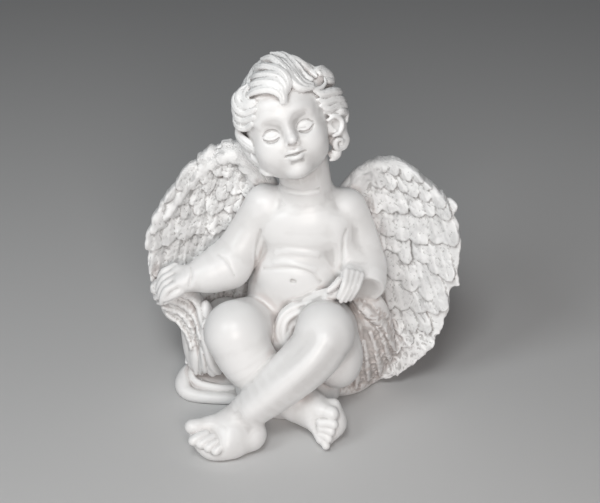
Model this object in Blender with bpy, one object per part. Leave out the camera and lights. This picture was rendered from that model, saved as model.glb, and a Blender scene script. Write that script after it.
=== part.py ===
"""A seated cherub with spread wings, cast in one piece of plaster and painted white.

The casting is blocked in like clay: limbs, fingers, toes, curls and folds are round profiles carried
along smooth paths, the head, cheeks and belly are ellipsoids, and the wings are cupped shields laid with
rows of feathers. All of it is one mesh, which the modifiers fuse, soften and thin, and which a block
below the ground then cuts flat.

Lengths are in millimetres until they reach a mesh, where MM turns them into metres.
+X is the figure's left, -Y its front and +Z up. The origin is the middle of the bounding box's base.
"""

import math

import bmesh
import bpy
from mathutils import Matrix, Vector

MM = 0.001

# How the casting is fused and thinned.
VOXEL = 1.15 * MM
SOFTENING_STEPS = 3
TRIANGLE_BUDGET = 9400
GROUND_CUTTER_SIZE = 400
GROUND_CUTTER_DEPTH = 40

# Head: its place, its size against the stations below, how it is turned, the skull's middle and half
# sizes, and the round that the curls at the back hang on.
HEAD_CENTRE = Vector((-6.6, 15.5, 176.5))
HEAD_SIZE = 0.948
HEAD_TURN = math.radians(6)
HEAD_PITCH = math.radians(18)
HEAD_ROLL = math.radians(-15)
SKULL_MIDDLE = (2.0, -1.0, 4.0)
SKULL = (25.5, 29.0, 25.5)
HAIR_MIDDLE = Vector((5.5, -4.0, 5.0))
HAIR_REACH = 25.0

# Wings: how far back their middle lies, and their plate and feather sizes.
WING_DEPTH = 36.0
WING_THICKNESS = 7.0
FEATHER_THICKNESS = 2.6


def clear_scene():
    for obj in list(bpy.data.objects):
        bpy.data.objects.remove(obj)


# ---------------------------------------------------------------- clay tools


def smooth_path(stations, steps):
    """Points on a Catmull-Rom curve through the stations, which are tuples of numbers."""
    ends = [stations[0], *stations, stations[-1]]
    path = []
    for before, start, finish, after in zip(ends, ends[1:], ends[2:], ends[3:]):
        for step in range(steps):
            t = step / steps
            first, second = 2 * t * t - t - t**3, 2 - 5 * t * t + 3 * t**3
            weights = (first, second, t + 4 * t * t - 3 * t**3, t**3 - t * t)
            span = zip(before, start, finish, after)
            path.append(tuple(sum(w * v for w, v in zip(weights, four)) / 2 for four in span))
    path.append(tuple(stations[-1]))
    return path


def add_tube(clay, stations, sides=18, steps=5):
    """A round profile carried along a smooth path through stations (x, y, z, radius), with domed ends."""
    path = [(Vector(p[:3]), p[3]) for p in smooth_path(stations, steps)]
    first_way = (path[1][0] - path[0][0]).normalized()
    last_way = (path[-1][0] - path[-2][0]).normalized()
    rings = list(path)
    for degrees in (28, 55, 80):
        out, size = math.sin(math.radians(degrees)), math.cos(math.radians(degrees))
        rings.insert(0, (path[0][0] - first_way * path[0][1] * out, path[0][1] * size))
        rings.append((path[-1][0] + last_way * path[-1][1] * out, path[-1][1] * size))
    across = first_way.orthogonal().normalized()
    loops = []
    for i, (centre, radius) in enumerate(rings):
        way = (rings[min(i + 1, len(rings) - 1)][0] - rings[max(i - 1, 0)][0]).normalized()
        across = (across - way * across.dot(way)).normalized()
        other = way.cross(across)
        loop = []
        for k in range(sides):
            around = 2 * math.pi * k / sides
            point = centre + (across * math.cos(around) + other * math.sin(around)) * radius
            loop.append(clay.verts.new(point * MM))
        loops.append(loop)
    skin(clay, loops)


def skin(clay, loops):
    """Side faces between one loop of vertices and the next, and a cap on the first and the last."""
    for low, high in zip(loops, loops[1:]):
        for k in range(len(low)):
            after = (k + 1) % len(low)
            clay.faces.new((low[k], low[after], high[after], high[k]))
    clay.faces.new(list(reversed(loops[0])))
    clay.faces.new(loops[-1])


def add_ball(clay, centre, radii, turn=None):
    """An ellipsoid of these half sizes, turned by a rotation matrix."""
    turn = turn or Matrix.Identity(3)
    loops = []
    for i in range(1, 14):
        up = math.pi * i / 14
        loop = []
        for k in range(20):
            around = 2 * math.pi * k / 20
            point = (math.sin(up) * math.cos(around), math.sin(up) * math.sin(around), -math.cos(up))
            sized = Vector([p * r for p, r in zip(point, radii)])
            loop.append(clay.verts.new((Vector(centre) + turn @ sized) * MM))
        loops.append(loop)
    skin(clay, loops)


# ---------------------------------------------------------------- the child


def add_torso(clay):
    """Pelvis, round belly, ribs and the square shoulders with the neck between them."""
    add_ball(clay, (-2, 18, 32), (31, 24, 24))
    add_ball(clay, (0, 14.5, 62), (28.5, 22.5, 26))
    add_ball(clay, (3, 11.5, 80), (25.5, 21, 19))
    add_ball(clay, (5.5, 16, 99), (26, 18.5, 25))
    add_tube(clay, [(-15, 17, 118, 12), (7, 18, 119, 13.5), (29, 17, 117, 12)])
    add_tube(clay, [(8, 18, 110, 21.5), (8, 17, 127, 16), (5, 17.5, 148, 15.5)])


def add_arms(clay):
    """The right arm rests out to the side on the wing; the left is bent, its hand on the thigh."""
    right_upper = [(-17, 17, 121, 12), (-25, 15, 107, 12), (-33, 10, 94, 13), (-39, 6, 87, 14)]
    right_fore = [(-40, 5, 86, 14), (-49, 1, 84, 12.5), (-56, -2, 83, 9.5), (-62, -4, 82.5, 7)]
    left_upper = [(31, 17, 119, 11.5), (36, 16, 106, 12), (39, 13, 94, 13), (40.5, 9, 85, 14)]
    left_fore = [(41, 9, 82, 14), (41, 1, 79.5, 13.5)]
    for stations in (right_upper, right_fore, left_upper, left_fore):
        add_tube(clay, stations)


def add_hand(clay, wrist, knuckles, tips, spread, finger_radius, thumb):
    """A palm with four fingers side by side along spread, and a thumb."""
    wrist, knuckles, tips, spread = (Vector(v) for v in (wrist, knuckles, tips, spread))
    palm_radius = 2.3 * finger_radius
    for share in (-0.35, 0.35):
        heel = wrist + spread * share * 0.8
        add_tube(clay, [(*heel, palm_radius), (*(knuckles + spread * share), palm_radius * 0.8)], steps=2)
    bow = (tips - knuckles).cross(spread).normalized() * finger_radius
    for i in range(4):
        start = knuckles + spread * (i / 3 - 0.5)
        tip = start + (tips - knuckles) * (1.0 - 0.09 * abs(i - 1.3)) + spread * (i / 3 - 0.5) * 0.12
        bend = (start + tip) / 2 + bow * 1.2
        joints = [(start, 1.15), (bend, 1.1), (tip, 0.9)]
        add_tube(clay, [(*place, finger_radius * size) for place, size in joints], sides=10, steps=2)
    add_tube(clay, thumb, sides=10, steps=2)


def add_hands(clay):
    add_hand(
        clay,
        wrist=(-63, -4, 82.5),
        knuckles=(-70.5, -4, 83),
        tips=(-82.5, -5, 74.5),
        spread=(2, -13, -5),
        finger_radius=2.2,
        thumb=[(-63, -8, 80, 3.2), (-69, -12, 77.5, 2.8), (-75, -12.5, 74, 2.3)],
    )
    add_hand(
        clay,
        wrist=(35.5, -4, 88),
        knuckles=(34, -15, 90.5),
        tips=(31, -25.5, 81),
        spread=(8.5, 1.5, -3.5),
        finger_radius=1.9,
        thumb=[(30, -11, 90, 2.6), (25.5, -16, 89, 2.3), (21, -18.5, 87.5, 2)],
    )


def add_legs(clay):
    """Thighs come forward, the left shin crosses over the right one."""
    right_thigh = [(-17, 18, 32, 21), (-27, -4, 47, 19.5), (-34, -28, 62, 17.6)]
    right_shin = [(-34.5, -30, 61, 17.6), (-27, -34, 46, 16.5), (-15, -37, 32, 13.5), (-1, -40, 20, 11)]
    left_thigh = [(17, 18, 32, 21), (19, -8, 50, 19), (18, -35, 66.5, 16.4)]
    left_shin = [(18, -37, 65, 16.4), (10, -43, 54, 16), (-8, -50, 39, 14), (-25, -54, 25.5, 11.8),
                 (-36, -57, 20, 9)]
    for stations in (right_thigh, right_shin, left_thigh, left_shin):
        add_tube(clay, stations)
    add_ball(clay, (26, -24, 41), (15, 15, 21))


def add_foot(clay, heel, instep, pad, big_toe, second_toe, little_toe):
    """A sole from the heel to the middle of the pad, an instep over it, the pad itself, and five toes: the
    big one, then the second to the little one at even steps."""
    heel, instep = Vector(heel), Vector(instep)
    middle = (Vector(pad[1][:3]) + Vector(pad[2][:3])) / 2
    big, second, little = ([Vector(v) for v in toe] for toe in (big_toe, second_toe, little_toe))
    add_tube(clay, [(*heel, 10.2), (*((heel + middle) / 2), 9.8), (*middle, 7.6)])
    add_tube(clay, [(*instep, 9.5), (*((instep + big[0]) / 2), 8.2), (*big[0], 6.2)])
    add_tube(clay, [(*instep, 8.2), (*((instep + little[0]) / 2), 8.2), (*little[0], 5.4)])
    add_tube(clay, pad)
    add_tube(clay, [(*big[0], 4.6), (*big[1], 4.3)], sides=12, steps=2)
    for i in range(4):
        root, tip = (near + (far - near) * i / 3 for near, far in zip(second, little))
        add_tube(clay, [(*root, 2.9 - 0.1 * i), (*tip, 3.1 - 0.1 * i)], sides=10, steps=2)


def add_feet(clay):
    add_foot(
        clay,
        heel=(-26, -59, 10.2),
        instep=(-36, -57.5, 18),
        pad=[(-55, -65, 13, 5.6), (-49.5, -67.5, 9, 6.6), (-42.5, -68, 7.5, 6.8), (-36, -66.5, 7.5, 6.8)],
        big_toe=[(-50, -61.5, 18.5), (-58.5, -64, 19.5)],
        second_toe=[(-51, -65.5, 15.5), (-57.5, -69.5, 14)],
        little_toe=[(-39, -68.5, 11.5), (-45, -73, 9.5)],
    )
    add_foot(
        clay,
        heel=(4, -38.5, 14.5),
        instep=(10, -42.5, 18.5),
        pad=[(24.5, -47, 21.5, 4.6), (26, -48.5, 14.5, 5.4), (24, -52, 8, 5.8), (18, -57, 5, 5)],
        big_toe=[(16, -51, 21.5), (22, -54.5, 21.5)],
        second_toe=[(15.5, -56, 16), (23, -57, 16.3)],
        little_toe=[(14, -59.5, 6.5), (18, -61.5, 3.8)],
    )


# ---------------------------------------------------------------- the head


def head_turn():
    """Rotation of the head: turned, tipped back, then tilted towards its right shoulder."""
    return (
        Matrix.Rotation(HEAD_TURN, 3, "Z")
        @ Matrix.Rotation(-HEAD_PITCH, 3, "X")
        @ Matrix.Rotation(HEAD_ROLL, 3, "Y")
    )


def on_head(side, front, up):
    """A point given in the head's own directions: towards its left, its face and its crown."""
    return HEAD_CENTRE + head_turn() @ (Vector((side, -front, up)) * HEAD_SIZE)


def add_head_ball(clay, centre, radii):
    """A ball whose place and half sizes are given in the head's own directions."""
    add_ball(clay, on_head(*centre), [radius * HEAD_SIZE for radius in radii], head_turn())


def add_head_tube(clay, stations, sides=10, steps=2):
    """A tube whose stations are given in the head's own directions."""
    placed = [(*on_head(*station[:3]), station[3] * HEAD_SIZE) for station in stations]
    add_tube(clay, placed, sides, steps)


def add_face(clay):
    """A plain child's face on even proportions: full cheeks, small nose and mouth, closed lids."""
    add_head_ball(clay, SKULL_MIDDLE, SKULL)
    add_head_ball(clay, (0, 8, -9), (22.5, 21.5, 22.5))
    add_head_ball(clay, (0, 9.5, 9), (22.5, 20.5, 17))
    add_head_ball(clay, (-0.5, 20, -27), (8, 7, 6.5))
    add_head_ball(clay, (0, 6, -26), (16, 15, 10))
    add_head_ball(clay, (0, 22.5, -18.5), (8, 5.8, 6))
    for side in (-1, 1):
        add_head_ball(clay, (11 * side, 17.5, -14.5), (10, 10, 10))
        add_head_ball(clay, (12 * side, 8, -21), (10, 11, 9))
        add_head_ball(clay, (10.3 * side, 21.9, -4.2), (5.9, 5.3, 4.5))
        add_head_ball(clay, (2.6 * side, 29, -11.2), (1.8, 2.0, 1.7))
        brow = [(4.5, 27, 4.2, 1.8), (9, 26.6, 6.4, 2.2), (15, 23, 4.6, 1.8)]
        add_head_tube(clay, [(place[0] * side, *place[1:]) for place in brow])
    add_head_tube(clay, [(0, 27, 2, 2), (0, 28.4, -3, 1.9), (0.3, 30.4, -9, 2.5)])
    add_head_tube(clay, [(-5, 27.4, -17.4, 1.1), (0, 28.9, -16.5, 1.6), (5, 27.4, -17.4, 1.1)])
    add_head_tube(clay, [(-4.2, 27, -19.4, 1.1), (0, 28.4, -20.2, 1.9), (4.2, 27, -19.4, 1.1)])


def add_lock(clay, points, thickness):
    """One curl of hair, swept through points in the head's directions and thinning to its tip."""
    shape = (0.55, 1.0, 1.0, 0.85, 0.4)
    count = len(points) - 1
    stations = []
    for i, point in enumerate(points):
        spot = i / count * (len(shape) - 1)
        low = min(int(spot), len(shape) - 2)
        radius = thickness * (shape[low] + (shape[low + 1] - shape[low]) * (spot - low))
        stations.append((*point, radius))
    add_head_tube(clay, stations, steps=3)


def add_hair(clay):
    """A cap of hair, the forelock that curls over the brow, and loose curls down both sides and the back."""
    for centre, radii in (
        ((5, -3, 4.5), (27.5, 27.5, 27.5)),
        ((3, -5, -8), (25.5, 24.5, 20.5)),
        ((6.5, 1, 20), (18.5, 19.5, 16)),
        ((1, 5, 25), (12, 13, 10)),
        ((27, 4, 18.5), (8.5, 8.5, 6)),
        ((33, 3, 14.5), (3.5, 5.5, 5)),
        ((30, 2, -8), (7.5, 9.5, 14.5)),
        ((29, 4, -21.5), (6.5, 5.5, 6.5)),
        ((-21, 9.5, -16), (3.5, 4.5, 4.5)),
        ((-18.5, 9, -24.5), (3.5, 4.5, 4.5)),
    ):
        add_head_ball(clay, centre, radii)
    forelock = [
        ([(-0.1, 4, 36.2), (3.9, 12, 35.6), (7.4, 18.5, 31.4), (9.6, 23, 26.5), (9.6, 25.5, 21.8)], 3.2),
        ([(-5.8, 6, 32.2), (-1.8, 14, 33.2), (3.5, 20.5, 31), (7, 25, 27), (7.8, 27, 22), (6.4, 28, 18)],
         3.2),
        ([(-10, 9.5, 28), (-6.6, 16.5, 29.8), (-1.1, 22.5, 28.9), (3.8, 26, 26), (5.8, 28, 21.5),
          (4.8, 29, 16.8)], 3.4),
        ([(-13.2, 14, 24.2), (-10.6, 19.5, 26.3), (-5.6, 23.8, 26.2), (0.4, 27.2, 24.3),
          (3.4, 28.6, 20.5)], 3.4),
        ([(-16, 16, 21.3), (-13.6, 20.8, 22.8), (-8.8, 25, 23.4), (-3.2, 27.8, 22.6), (0.8, 29.4, 19.8),
          (1.8, 30.4, 12.8)], 3.6),
    ]
    sweep = [
        ([(8, -6, 35.5), (15, -4, 31.8), (20, 1, 27.5), (24, 7, 24), (28, 10, 20.5)], 3.0),
        ([(12, -1, 34.2), (16, 3, 31.5), (19.5, 6, 27.8), (22.6, 10, 23.4), (25.3, 13.5, 19.8)], 3.0),
        ([(7, -2, 36.8), (12, 3, 34.8), (15.6, 9, 29.6), (17.4, 14.4, 24.8), (19.8, 18, 20.6),
          (23.4, 18.8, 18)], 3.0),
        ([(5, 1, 37.6), (10.2, 7, 35), (12.9, 14, 29.8), (14.5, 19, 24.4), (17, 21.6, 19.4),
          (21.6, 21, 16.6)], 3.0),
        ([(3.6, 7, 36.6), (8.6, 13, 33.4), (11.4, 18.6, 28.6), (12.9, 22.6, 23), (15.8, 23.8, 18.2),
          (21, 22.2, 15.4)], 3.0),
        ([(4, 14, 34), (8, 19, 30.6), (9.8, 23, 25.4), (11, 25.4, 20.6), (14.6, 25.4, 16.8),
          (20, 23.4, 14.6)], 2.8),
        ([(19.3, 23, 15), (22.6, 21.4, 13.6), (26.6, 18.4, 13), (29.8, 15.2, 14.6), (30, 13.4, 17.2)], 1.8),
    ]
    left_side = [
        ([(21.6, 22, 12.4), (25.4, 19, 9.4), (31, 14.4, 8.2), (34.5, 9, 6.6), (37, 2, 4.4)], 3.4),
        ([(22.4, 20.6, 7), (25.9, 17.4, 4), (31, 12.8, 3.4), (35, 7.5, 1.6), (37.6, 1, -1.2)], 3.4),
        ([(22.8, 19.2, 2.8), (26.6, 15.8, -0.4), (32, 10.8, -0.8), (36, 5, -2.4), (37.6, 0, -4.4)], 3.4),
        ([(24.3, 16.4, -1.8), (29, 12, -4.2), (34, 7.8, -5), (37, 2, -7.8), (36, -2, -11.5)], 3.2),
        ([(25, 15, -7), (29, 14.5, -6), (32.5, 12, -9), (32.5, 11.5, -13), (29.5, 12.5, -16.5),
          (25.5, 13, -17)], 2.0),
        ([(31, 8, -15.5), (33, 5.4, -18.2), (33.6, 4.4, -22.4), (31.6, 4.6, -25.6), (28.6, 6.4, -26.6),
          (25.6, 8.8, -25)], 2.6),
        ([(34, -6, 4), (35.5, -4, -4), (34, -3, -12), (32.5, -2, -19), (28.5, -2, -26)], 4.2),
    ]
    right_side = [
        ([(-15.2, 10, 24.4), (-19.4, 11, 21.2), (-20.8, 14, 17.6), (-18.4, 17.6, 15.4),
          (-14.3, 20.5, 15.6)], 3.2),
        ([(-17.2, 6.5, 24.4), (-21.8, 6.5, 21), (-23.8, 9.5, 17), (-22.8, 13.5, 13.6), (-19.8, 17.2, 12.2),
          (-15.5, 20, 13)], 3.2),
        ([(-20, 3, 22), (-24.2, 4.5, 17.4), (-25.4, 8, 12.4), (-23.6, 12.5, 9.6), (-18.5, 17.5, 9.2)], 3.2),
        ([(-25, 2.5, 12.5), (-26.2, 8, 7.4), (-24.2, 13, 5.4), (-19.5, 17.5, 5.4)], 3.2),
        ([(-27.2, 4, 5), (-27.8, 6.5, -0.3), (-26, 10.5, -4.3), (-23, 13.5, -8), (-20.8, 15.5, -10.4),
          (-19.2, 17, -7.5)], 3.2),
        ([(-26, 1, 4), (-26.5, 3, -4), (-24.5, 6, -10), (-22, 9, -14)], 4.0),
    ]
    for points, thickness in forelock + sweep + left_side + right_side:
        add_lock(clay, points, thickness)
    back_rows = [(27, 5, 66), (19, 8, 76), (10, 9, 80), (-1, 9, 80), (-13, 9, 80)]
    for row, (height, count, spread) in enumerate(back_rows):
        for i in range(count):
            angle = math.radians(spread * (2 * (i + 0.5 * (row % 2)) / (count - 0.5) - 1))
            add_back_curl(clay, angle, height, 0.2 if (i + row) % 2 else -0.2)


def add_back_curl(clay, angle, height, swing):
    """An S-shaped curl that hangs at this angle from straight back, swinging by turns to both sides."""
    hang = [(-0.6, -1.5, -9), (0.6, 0.6, -4), (1, 1.2, 1), (0.1, 0.8, 6), (-0.9, 0.4, 9.5),
            (-0.6, -1.2, 13)]
    points = []
    for sway, out, drop in hang:
        place = angle + swing * sway
        level = max(-0.98, min(0.98, (height - drop - HAIR_MIDDLE.z) / (1.16 * HAIR_REACH)))
        reach = HAIR_REACH * math.sqrt(1 - level * level) + out
        side, front = math.sin(place) * reach, -math.cos(place) * reach
        points.append((side + HAIR_MIDDLE.x, front + HAIR_MIDDLE.y, height - drop))
    add_lock(clay, points, 4.0)


# ---------------------------------------------------------------- the wings


def wing_rim(side):
    """Corners of the wing's outline in front view (x, z), from the root over the top and round."""
    if side > 0:
        return [
            (24, 108), (30, 120), (36, 130), (43, 138), (52, 144), (61, 146), (70, 143), (79, 137), (88,
                                                                                                     130),
            (95, 121), (97.5, 108), (98, 92), (97.5, 76), (94, 59), (90, 45), (84.5, 31.5), (76, 20), (69,
                                                                                                       12),
            (58, 6), (46, 3), (30, 8), (18, 60),
        ]
    return [
        (-10, 108), (-15, 125), (-20.5, 141), (-28.5, 151), (-38, 154), (-47, 151), (-56, 145), (-67, 135),
        (-77, 123), (-83, 111), (-87, 98), (-88, 82), (-87, 70), (-79, 52), (-69, 33), (-66, 14), (-48, 6),
        (-28, 12), (-12, 60),
    ]


def wing_y(x, z):
    """Depth of the wing's middle surface: a cup whose rim comes forward at the side and below."""
    out = max(0.0, (abs(x) - 30) / 60)
    low = max(0.0, (85 - z) / 80)
    return WING_DEPTH - 30 * out * out - 26 * low * low


def add_wing(clay, side):
    """A cupped shield: loops spread from the middle of its front to the rim and close in over its back."""
    path = smooth_path([*wing_rim(side), wing_rim(side)[0]], 3)[:-1]
    middle = sum((Vector(p) for p in path), Vector((0, 0))) / len(path)
    front = [(-1.0, 0.1), (-1.0, 0.4), (-1.0, 0.7), (-0.9, 0.88), (-0.7, 0.96), (-0.3, 1.0)]
    back = [(-face, share) for face, share in reversed(front)]
    loops = []
    for face, share in front + back:
        loop = []
        for corner in path:
            x, z = middle + (Vector(corner) - middle) * share
            loop.append(clay.verts.new(Vector((x, wing_y(x, z) + face * WING_THICKNESS / 2, z)) * MM))
        loops.append(loop)
    skin(clay, loops)
    add_feathers(clay, side)


def feather_rows(side):
    """Rows of feathers from the bottom up: tip height at the inner and the outer end, inner and outer x,
    how many, length, and lean of the inner and the outer feather in degrees."""
    if side > 0:
        return [
            (24, 38, 44, 82, 5, 28, 14, 40), (47, 56, 44, 90, 5, 28, 8, 32), (68, 62, 46, 94, 6, 28, 4, 22),
            (88, 88, 44, 96, 6, 28, 2, 18), (109, 120, 40, 92, 6, 24, 4, 34), (128, 130, 50, 86, 5, 18, 24,
                                                                               55),
        ]
    return [
        (24, 32, 30, 66, 4, 34, -4, 20), (46, 50, 30, 76, 5, 34, 0, 20), (66, 66, 28, 84, 6, 30, 2, 18),
        (86, 88, 28, 86, 6, 26, 4, 16), (106, 108, 22, 84, 7, 22, 6, 24), (126, 126, 20, 74, 6, 18, 12, 40),
    ]


def add_feathers(clay, side):
    """Rows of overlapping feathers on both faces, each an oval plate whose tip stands off the wing."""
    for tip_in, tip_out, x_in, x_out, count, length, lean_in, lean_out in feather_rows(side):
        width = 1.25 * (x_out - x_in) / count
        for i in range(count):
            share = (i + 0.5) / count
            x = side * (x_in + (x_out - x_in) * share)
            z = tip_in + (tip_out - tip_in) * share**1.5
            lean = math.radians(lean_in + (lean_out - lean_in) * share) * side
            way = Vector((math.sin(lean), 0, -math.cos(lean)))
            for face in (-1, 1):
                add_feather(clay, Vector((x, 0, z)), way, width, length, face)


def add_feather(clay, tip, way, width, length, face):
    """One feather on the wing's front (face -1) or back (face 1), its tip standing off the wing."""
    root = tip - way * length
    tip.y = wing_y(tip.x, tip.z) + face * (WING_THICKNESS * 0.42 + 2.4)
    root.y = wing_y(root.x, root.z) + face * WING_THICKNESS * 0.3
    along = (tip - root).normalized()
    across = along.cross(Vector((0, face, 0))).normalized()
    turn = Matrix((across, along, across.cross(along))).transposed()
    add_ball(clay, (tip + root) / 2, (width * 0.5, length * 0.52, FEATHER_THICKNESS), turn)


def add_leading_edges(clay):
    """The thick fold along the top of each wing, from the shoulder blade over the wing's wrist."""
    left = [
        (24, 30, 107, 8.5), (33, 33, 120, 7.5), (41, 33, 131, 6.4), (51, 32, 137, 4.8), (63, 28, 138.5,
                                                                                         3.4),
        (75, 21, 132, 2.8), (85, 12, 122, 2.4),
    ]
    right = [
        (-11, 30, 108, 9), (-19, 33, 128, 8), (-28, 33, 143, 6.8), (-39, 32, 146, 5), (-52, 28, 140, 3.6),
        (-65, 21, 128, 2.8), (-75, 13, 114, 2.4),
    ]
    add_tube(clay, left)
    add_tube(clay, right)


# ---------------------------------------------------------------- drapery and seat


def add_drapery(clay):
    """The cloth the child sits on: a pad with rolled hems, folds up to both wings, and a strip in the lap."""
    for centre, radii in (
        ((2, 20, 8), (51, 32, 14.5)),
        ((-48, 2, 3), (22, 16, 7.5)),
        ((38, 14, 5), (21, 16, 9.5)),
        ((-4, -14, 12), (32, 24, 18)),
        ((-42, 14, 26), (22, 18, 34)),
        ((40, 16, 30), (21, 14, 34)),
        ((-8, -12, 34), (15, 13, 22)),
        ((-46, -2, 40), (14, 16, 30)),
        ((-74, 3, 71), (12, 7, 9)),
        ((-70, 5, 60), (11.5, 7.5, 14)),
        ((-62, 4, 42), (8.5, 9.5, 25)),
        ((-60, 3, 24), (7.5, 9, 16)),
        ((-53, -3, 50), (6.5, 10, 17)),
        ((-51, -5, 30), (8, 10, 20)),
        ((44, 1, 56), (12.5, 9.5, 14.5)),
        ((50, 4, 36), (12, 9.5, 25)),
        ((42, 1, 26), (11, 9.5, 21)),
        ((32, 3, 12), (13.5, 9.5, 10.5)),
    ):
        add_ball(clay, centre, radii)
    rolls = [
        [(-61, 12, 10, 4.2), (-67.5, 5, 7.5, 4.8), (-69, -5, 6, 5.2), (-64, -12, 4.4, 4.4),
         (-50, -15, 4, 4), (-30, -16, 4, 4)],
        [(-60, 10, 12, 3), (-63.5, 3, 10.5, 3), (-60.5, -5, 8.5, 3), (-49, -10, 8, 3),
         (-34, -12.5, 8.5, 3)],
        [(14, -10, 4, 4.2), (24, -7.5, 4, 4.2), (33, -6, 4, 4.2), (41, -1.5, 4, 4.2), (49, 7, 5, 4.2),
         (57, 12, 8, 4.2)],
        [(-83, 0, 67, 3.4), (-75, -2, 73, 4), (-66, -2, 71, 4), (-58, -2, 63, 4), (-55, -3, 54, 4)],
        [(-62, -1, 38, 4.5), (-61, -2, 28, 5), (-60, -2, 18, 5), (-60, -2, 12, 4)],
        [(-54, -8, 56, 4), (-54, -9, 46, 4.4), (-52, -10, 34, 4.6), (-47, -11, 20, 4.6),
         (-42, -12, 10, 4.6)],
        [(37, -5, 67, 4), (43, -4, 62, 4.4), (49, -2, 56, 4.2), (54, 0, 48, 3.6)],
        [(37, -8, 56, 3.6), (38, -8, 46, 4.4), (39, -7, 36, 4), (40, -6, 24, 4), (41, -4, 12, 4)],
        [(48, -4, 44, 3.6), (51, -3, 32, 3.8), (53, 0, 20, 3.8), (54, 5, 10, 3.8)],
        [(29, -13, 83, 3.4), (20, -12, 79, 5), (10, -11, 72.5, 6), (2, -11.5, 65.5, 6.5),
         (-4, -14, 57, 6.5), (-5, -18.5, 48, 6.5)],
        [(16, -10, 72, 4.5), (8, -12, 62, 4.5), (3, -15, 52, 5.5), (-1, -20, 44, 5.5)],
        [(27, -16, 82, 2.4), (13.3, -13, 75, 2.6), (-0.2, -12, 70.5, 2.6), (-8.6, -13, 65, 2.8),
         (-11.5, -16, 58, 3), (-9.5, -20, 50, 3)],
    ]
    for stations in rolls:
        add_tube(clay, stations)


# ---------------------------------------------------------------- casting


def plaster():
    material = bpy.data.materials.new("white painted plaster")
    material.use_nodes = True
    shader = material.node_tree.nodes["Principled BSDF"]
    shader.inputs["Base Color"].default_value = (0.80, 0.80, 0.80, 1.0)
    shader.inputs["Roughness"].default_value = 0.45
    shader.inputs["Metallic"].default_value = 0.0
    return material


def ground_cutter():
    """A block whose top is the ground, which trims everything that would stand below it."""
    bpy.ops.mesh.primitive_cube_add(size=1.0, location=(0, 0, -GROUND_CUTTER_DEPTH / 2 * MM))
    cutter = bpy.context.object
    cutter.name = "ground_cutter"
    cutter.scale = (GROUND_CUTTER_SIZE * MM, GROUND_CUTTER_SIZE * MM, GROUND_CUTTER_DEPTH * MM)
    bpy.ops.object.transform_apply(location=False, rotation=False, scale=True)
    cutter.hide_render = True
    cutter.display_type = "WIRE"
    return cutter


def cast(clay):
    """One object from the clay: fused, softened, thinned to the triangle budget and cut flat below."""
    mesh = bpy.data.meshes.new("cherub")
    clay.to_mesh(mesh)
    clay.free()
    figure = bpy.data.objects.new("cherub", mesh)
    bpy.context.scene.collection.objects.link(figure)
    figure.data.materials.append(plaster())
    fuse = figure.modifiers.new("fuse", "REMESH")
    fuse.mode = "VOXEL"
    fuse.voxel_size = VOXEL
    soften = figure.modifiers.new("soften", "SMOOTH")
    soften.factor = 0.5
    soften.iterations = SOFTENING_STEPS
    bpy.context.view_layer.update()
    graph = bpy.context.evaluated_depsgraph_get()
    fused = figure.evaluated_get(graph).to_mesh()
    triangles = sum(len(face.vertices) - 2 for face in fused.polygons)
    thin = figure.modifiers.new("thin", "DECIMATE")
    thin.ratio = TRIANGLE_BUDGET / triangles
    trim = figure.modifiers.new("trim", "BOOLEAN")
    trim.operation = "DIFFERENCE"
    trim.solver = "EXACT"
    trim.object = ground_cutter()
    return figure


def centre_on_base(figure):
    """Moves the figure so that the origin is the middle of its bounding box's base."""
    bpy.context.view_layer.update()
    graph = bpy.context.evaluated_depsgraph_get()
    shape = figure.evaluated_get(graph).to_mesh()
    xs = [v.co.x for v in shape.vertices]
    ys = [v.co.y for v in shape.vertices]
    figure.location = (-(min(xs) + max(xs)) / 2, -(min(ys) + max(ys)) / 2, 0.0)


def main():
    clear_scene()
    clay = bmesh.new()
    add_torso(clay)
    add_arms(clay)
    add_hands(clay)
    add_legs(clay)
    add_feet(clay)
    add_face(clay)
    add_hair(clay)
    for side in (-1, 1):
        add_wing(clay, side)
    add_leading_edges(clay)
    add_drapery(clay)
    figure = cast(clay)
    centre_on_base(figure)


main()
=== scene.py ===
import math

import bpy
import numpy as np
from mathutils import Matrix, Vector


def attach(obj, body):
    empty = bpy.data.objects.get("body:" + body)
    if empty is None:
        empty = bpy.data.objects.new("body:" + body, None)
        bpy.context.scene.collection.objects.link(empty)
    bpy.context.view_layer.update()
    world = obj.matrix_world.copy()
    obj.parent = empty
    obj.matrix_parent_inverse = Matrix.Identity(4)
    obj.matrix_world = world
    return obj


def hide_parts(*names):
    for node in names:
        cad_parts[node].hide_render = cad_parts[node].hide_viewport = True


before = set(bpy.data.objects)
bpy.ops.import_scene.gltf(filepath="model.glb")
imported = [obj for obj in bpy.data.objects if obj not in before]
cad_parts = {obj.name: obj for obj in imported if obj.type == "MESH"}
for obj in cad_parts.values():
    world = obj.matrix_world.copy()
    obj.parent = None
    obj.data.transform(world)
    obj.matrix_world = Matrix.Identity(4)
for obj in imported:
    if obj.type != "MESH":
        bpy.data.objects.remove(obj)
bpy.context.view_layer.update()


# ---------------------------------------------------------------- trunk and neck
# The cherub is a single plaster casting, so every part of it is worked in clay first: a block of
# distances, in millimetres, from each point of a grid to the nearest surface. The trunk is full and
# soft, with a round belly and square shoulders, and each form melts into the next over its blend.

GRAIN = 0.55  # spacing of the grid
BLOCK_LOW = (-97.0, -82.0, -3.0)
BLOCK_HIGH = (107.0, 58.0, 225.0)
AXES = [np.arange(low, high, GRAIN, dtype=np.float32) for low, high in zip(BLOCK_LOW, BLOCK_HIGH)]
AIR = 40.0  # stands for any distance too far away to matter


def new_block():
    """A block of clay with nothing in it yet."""
    return np.full([len(axis) for axis in AXES], AIR, np.float32)


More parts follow.
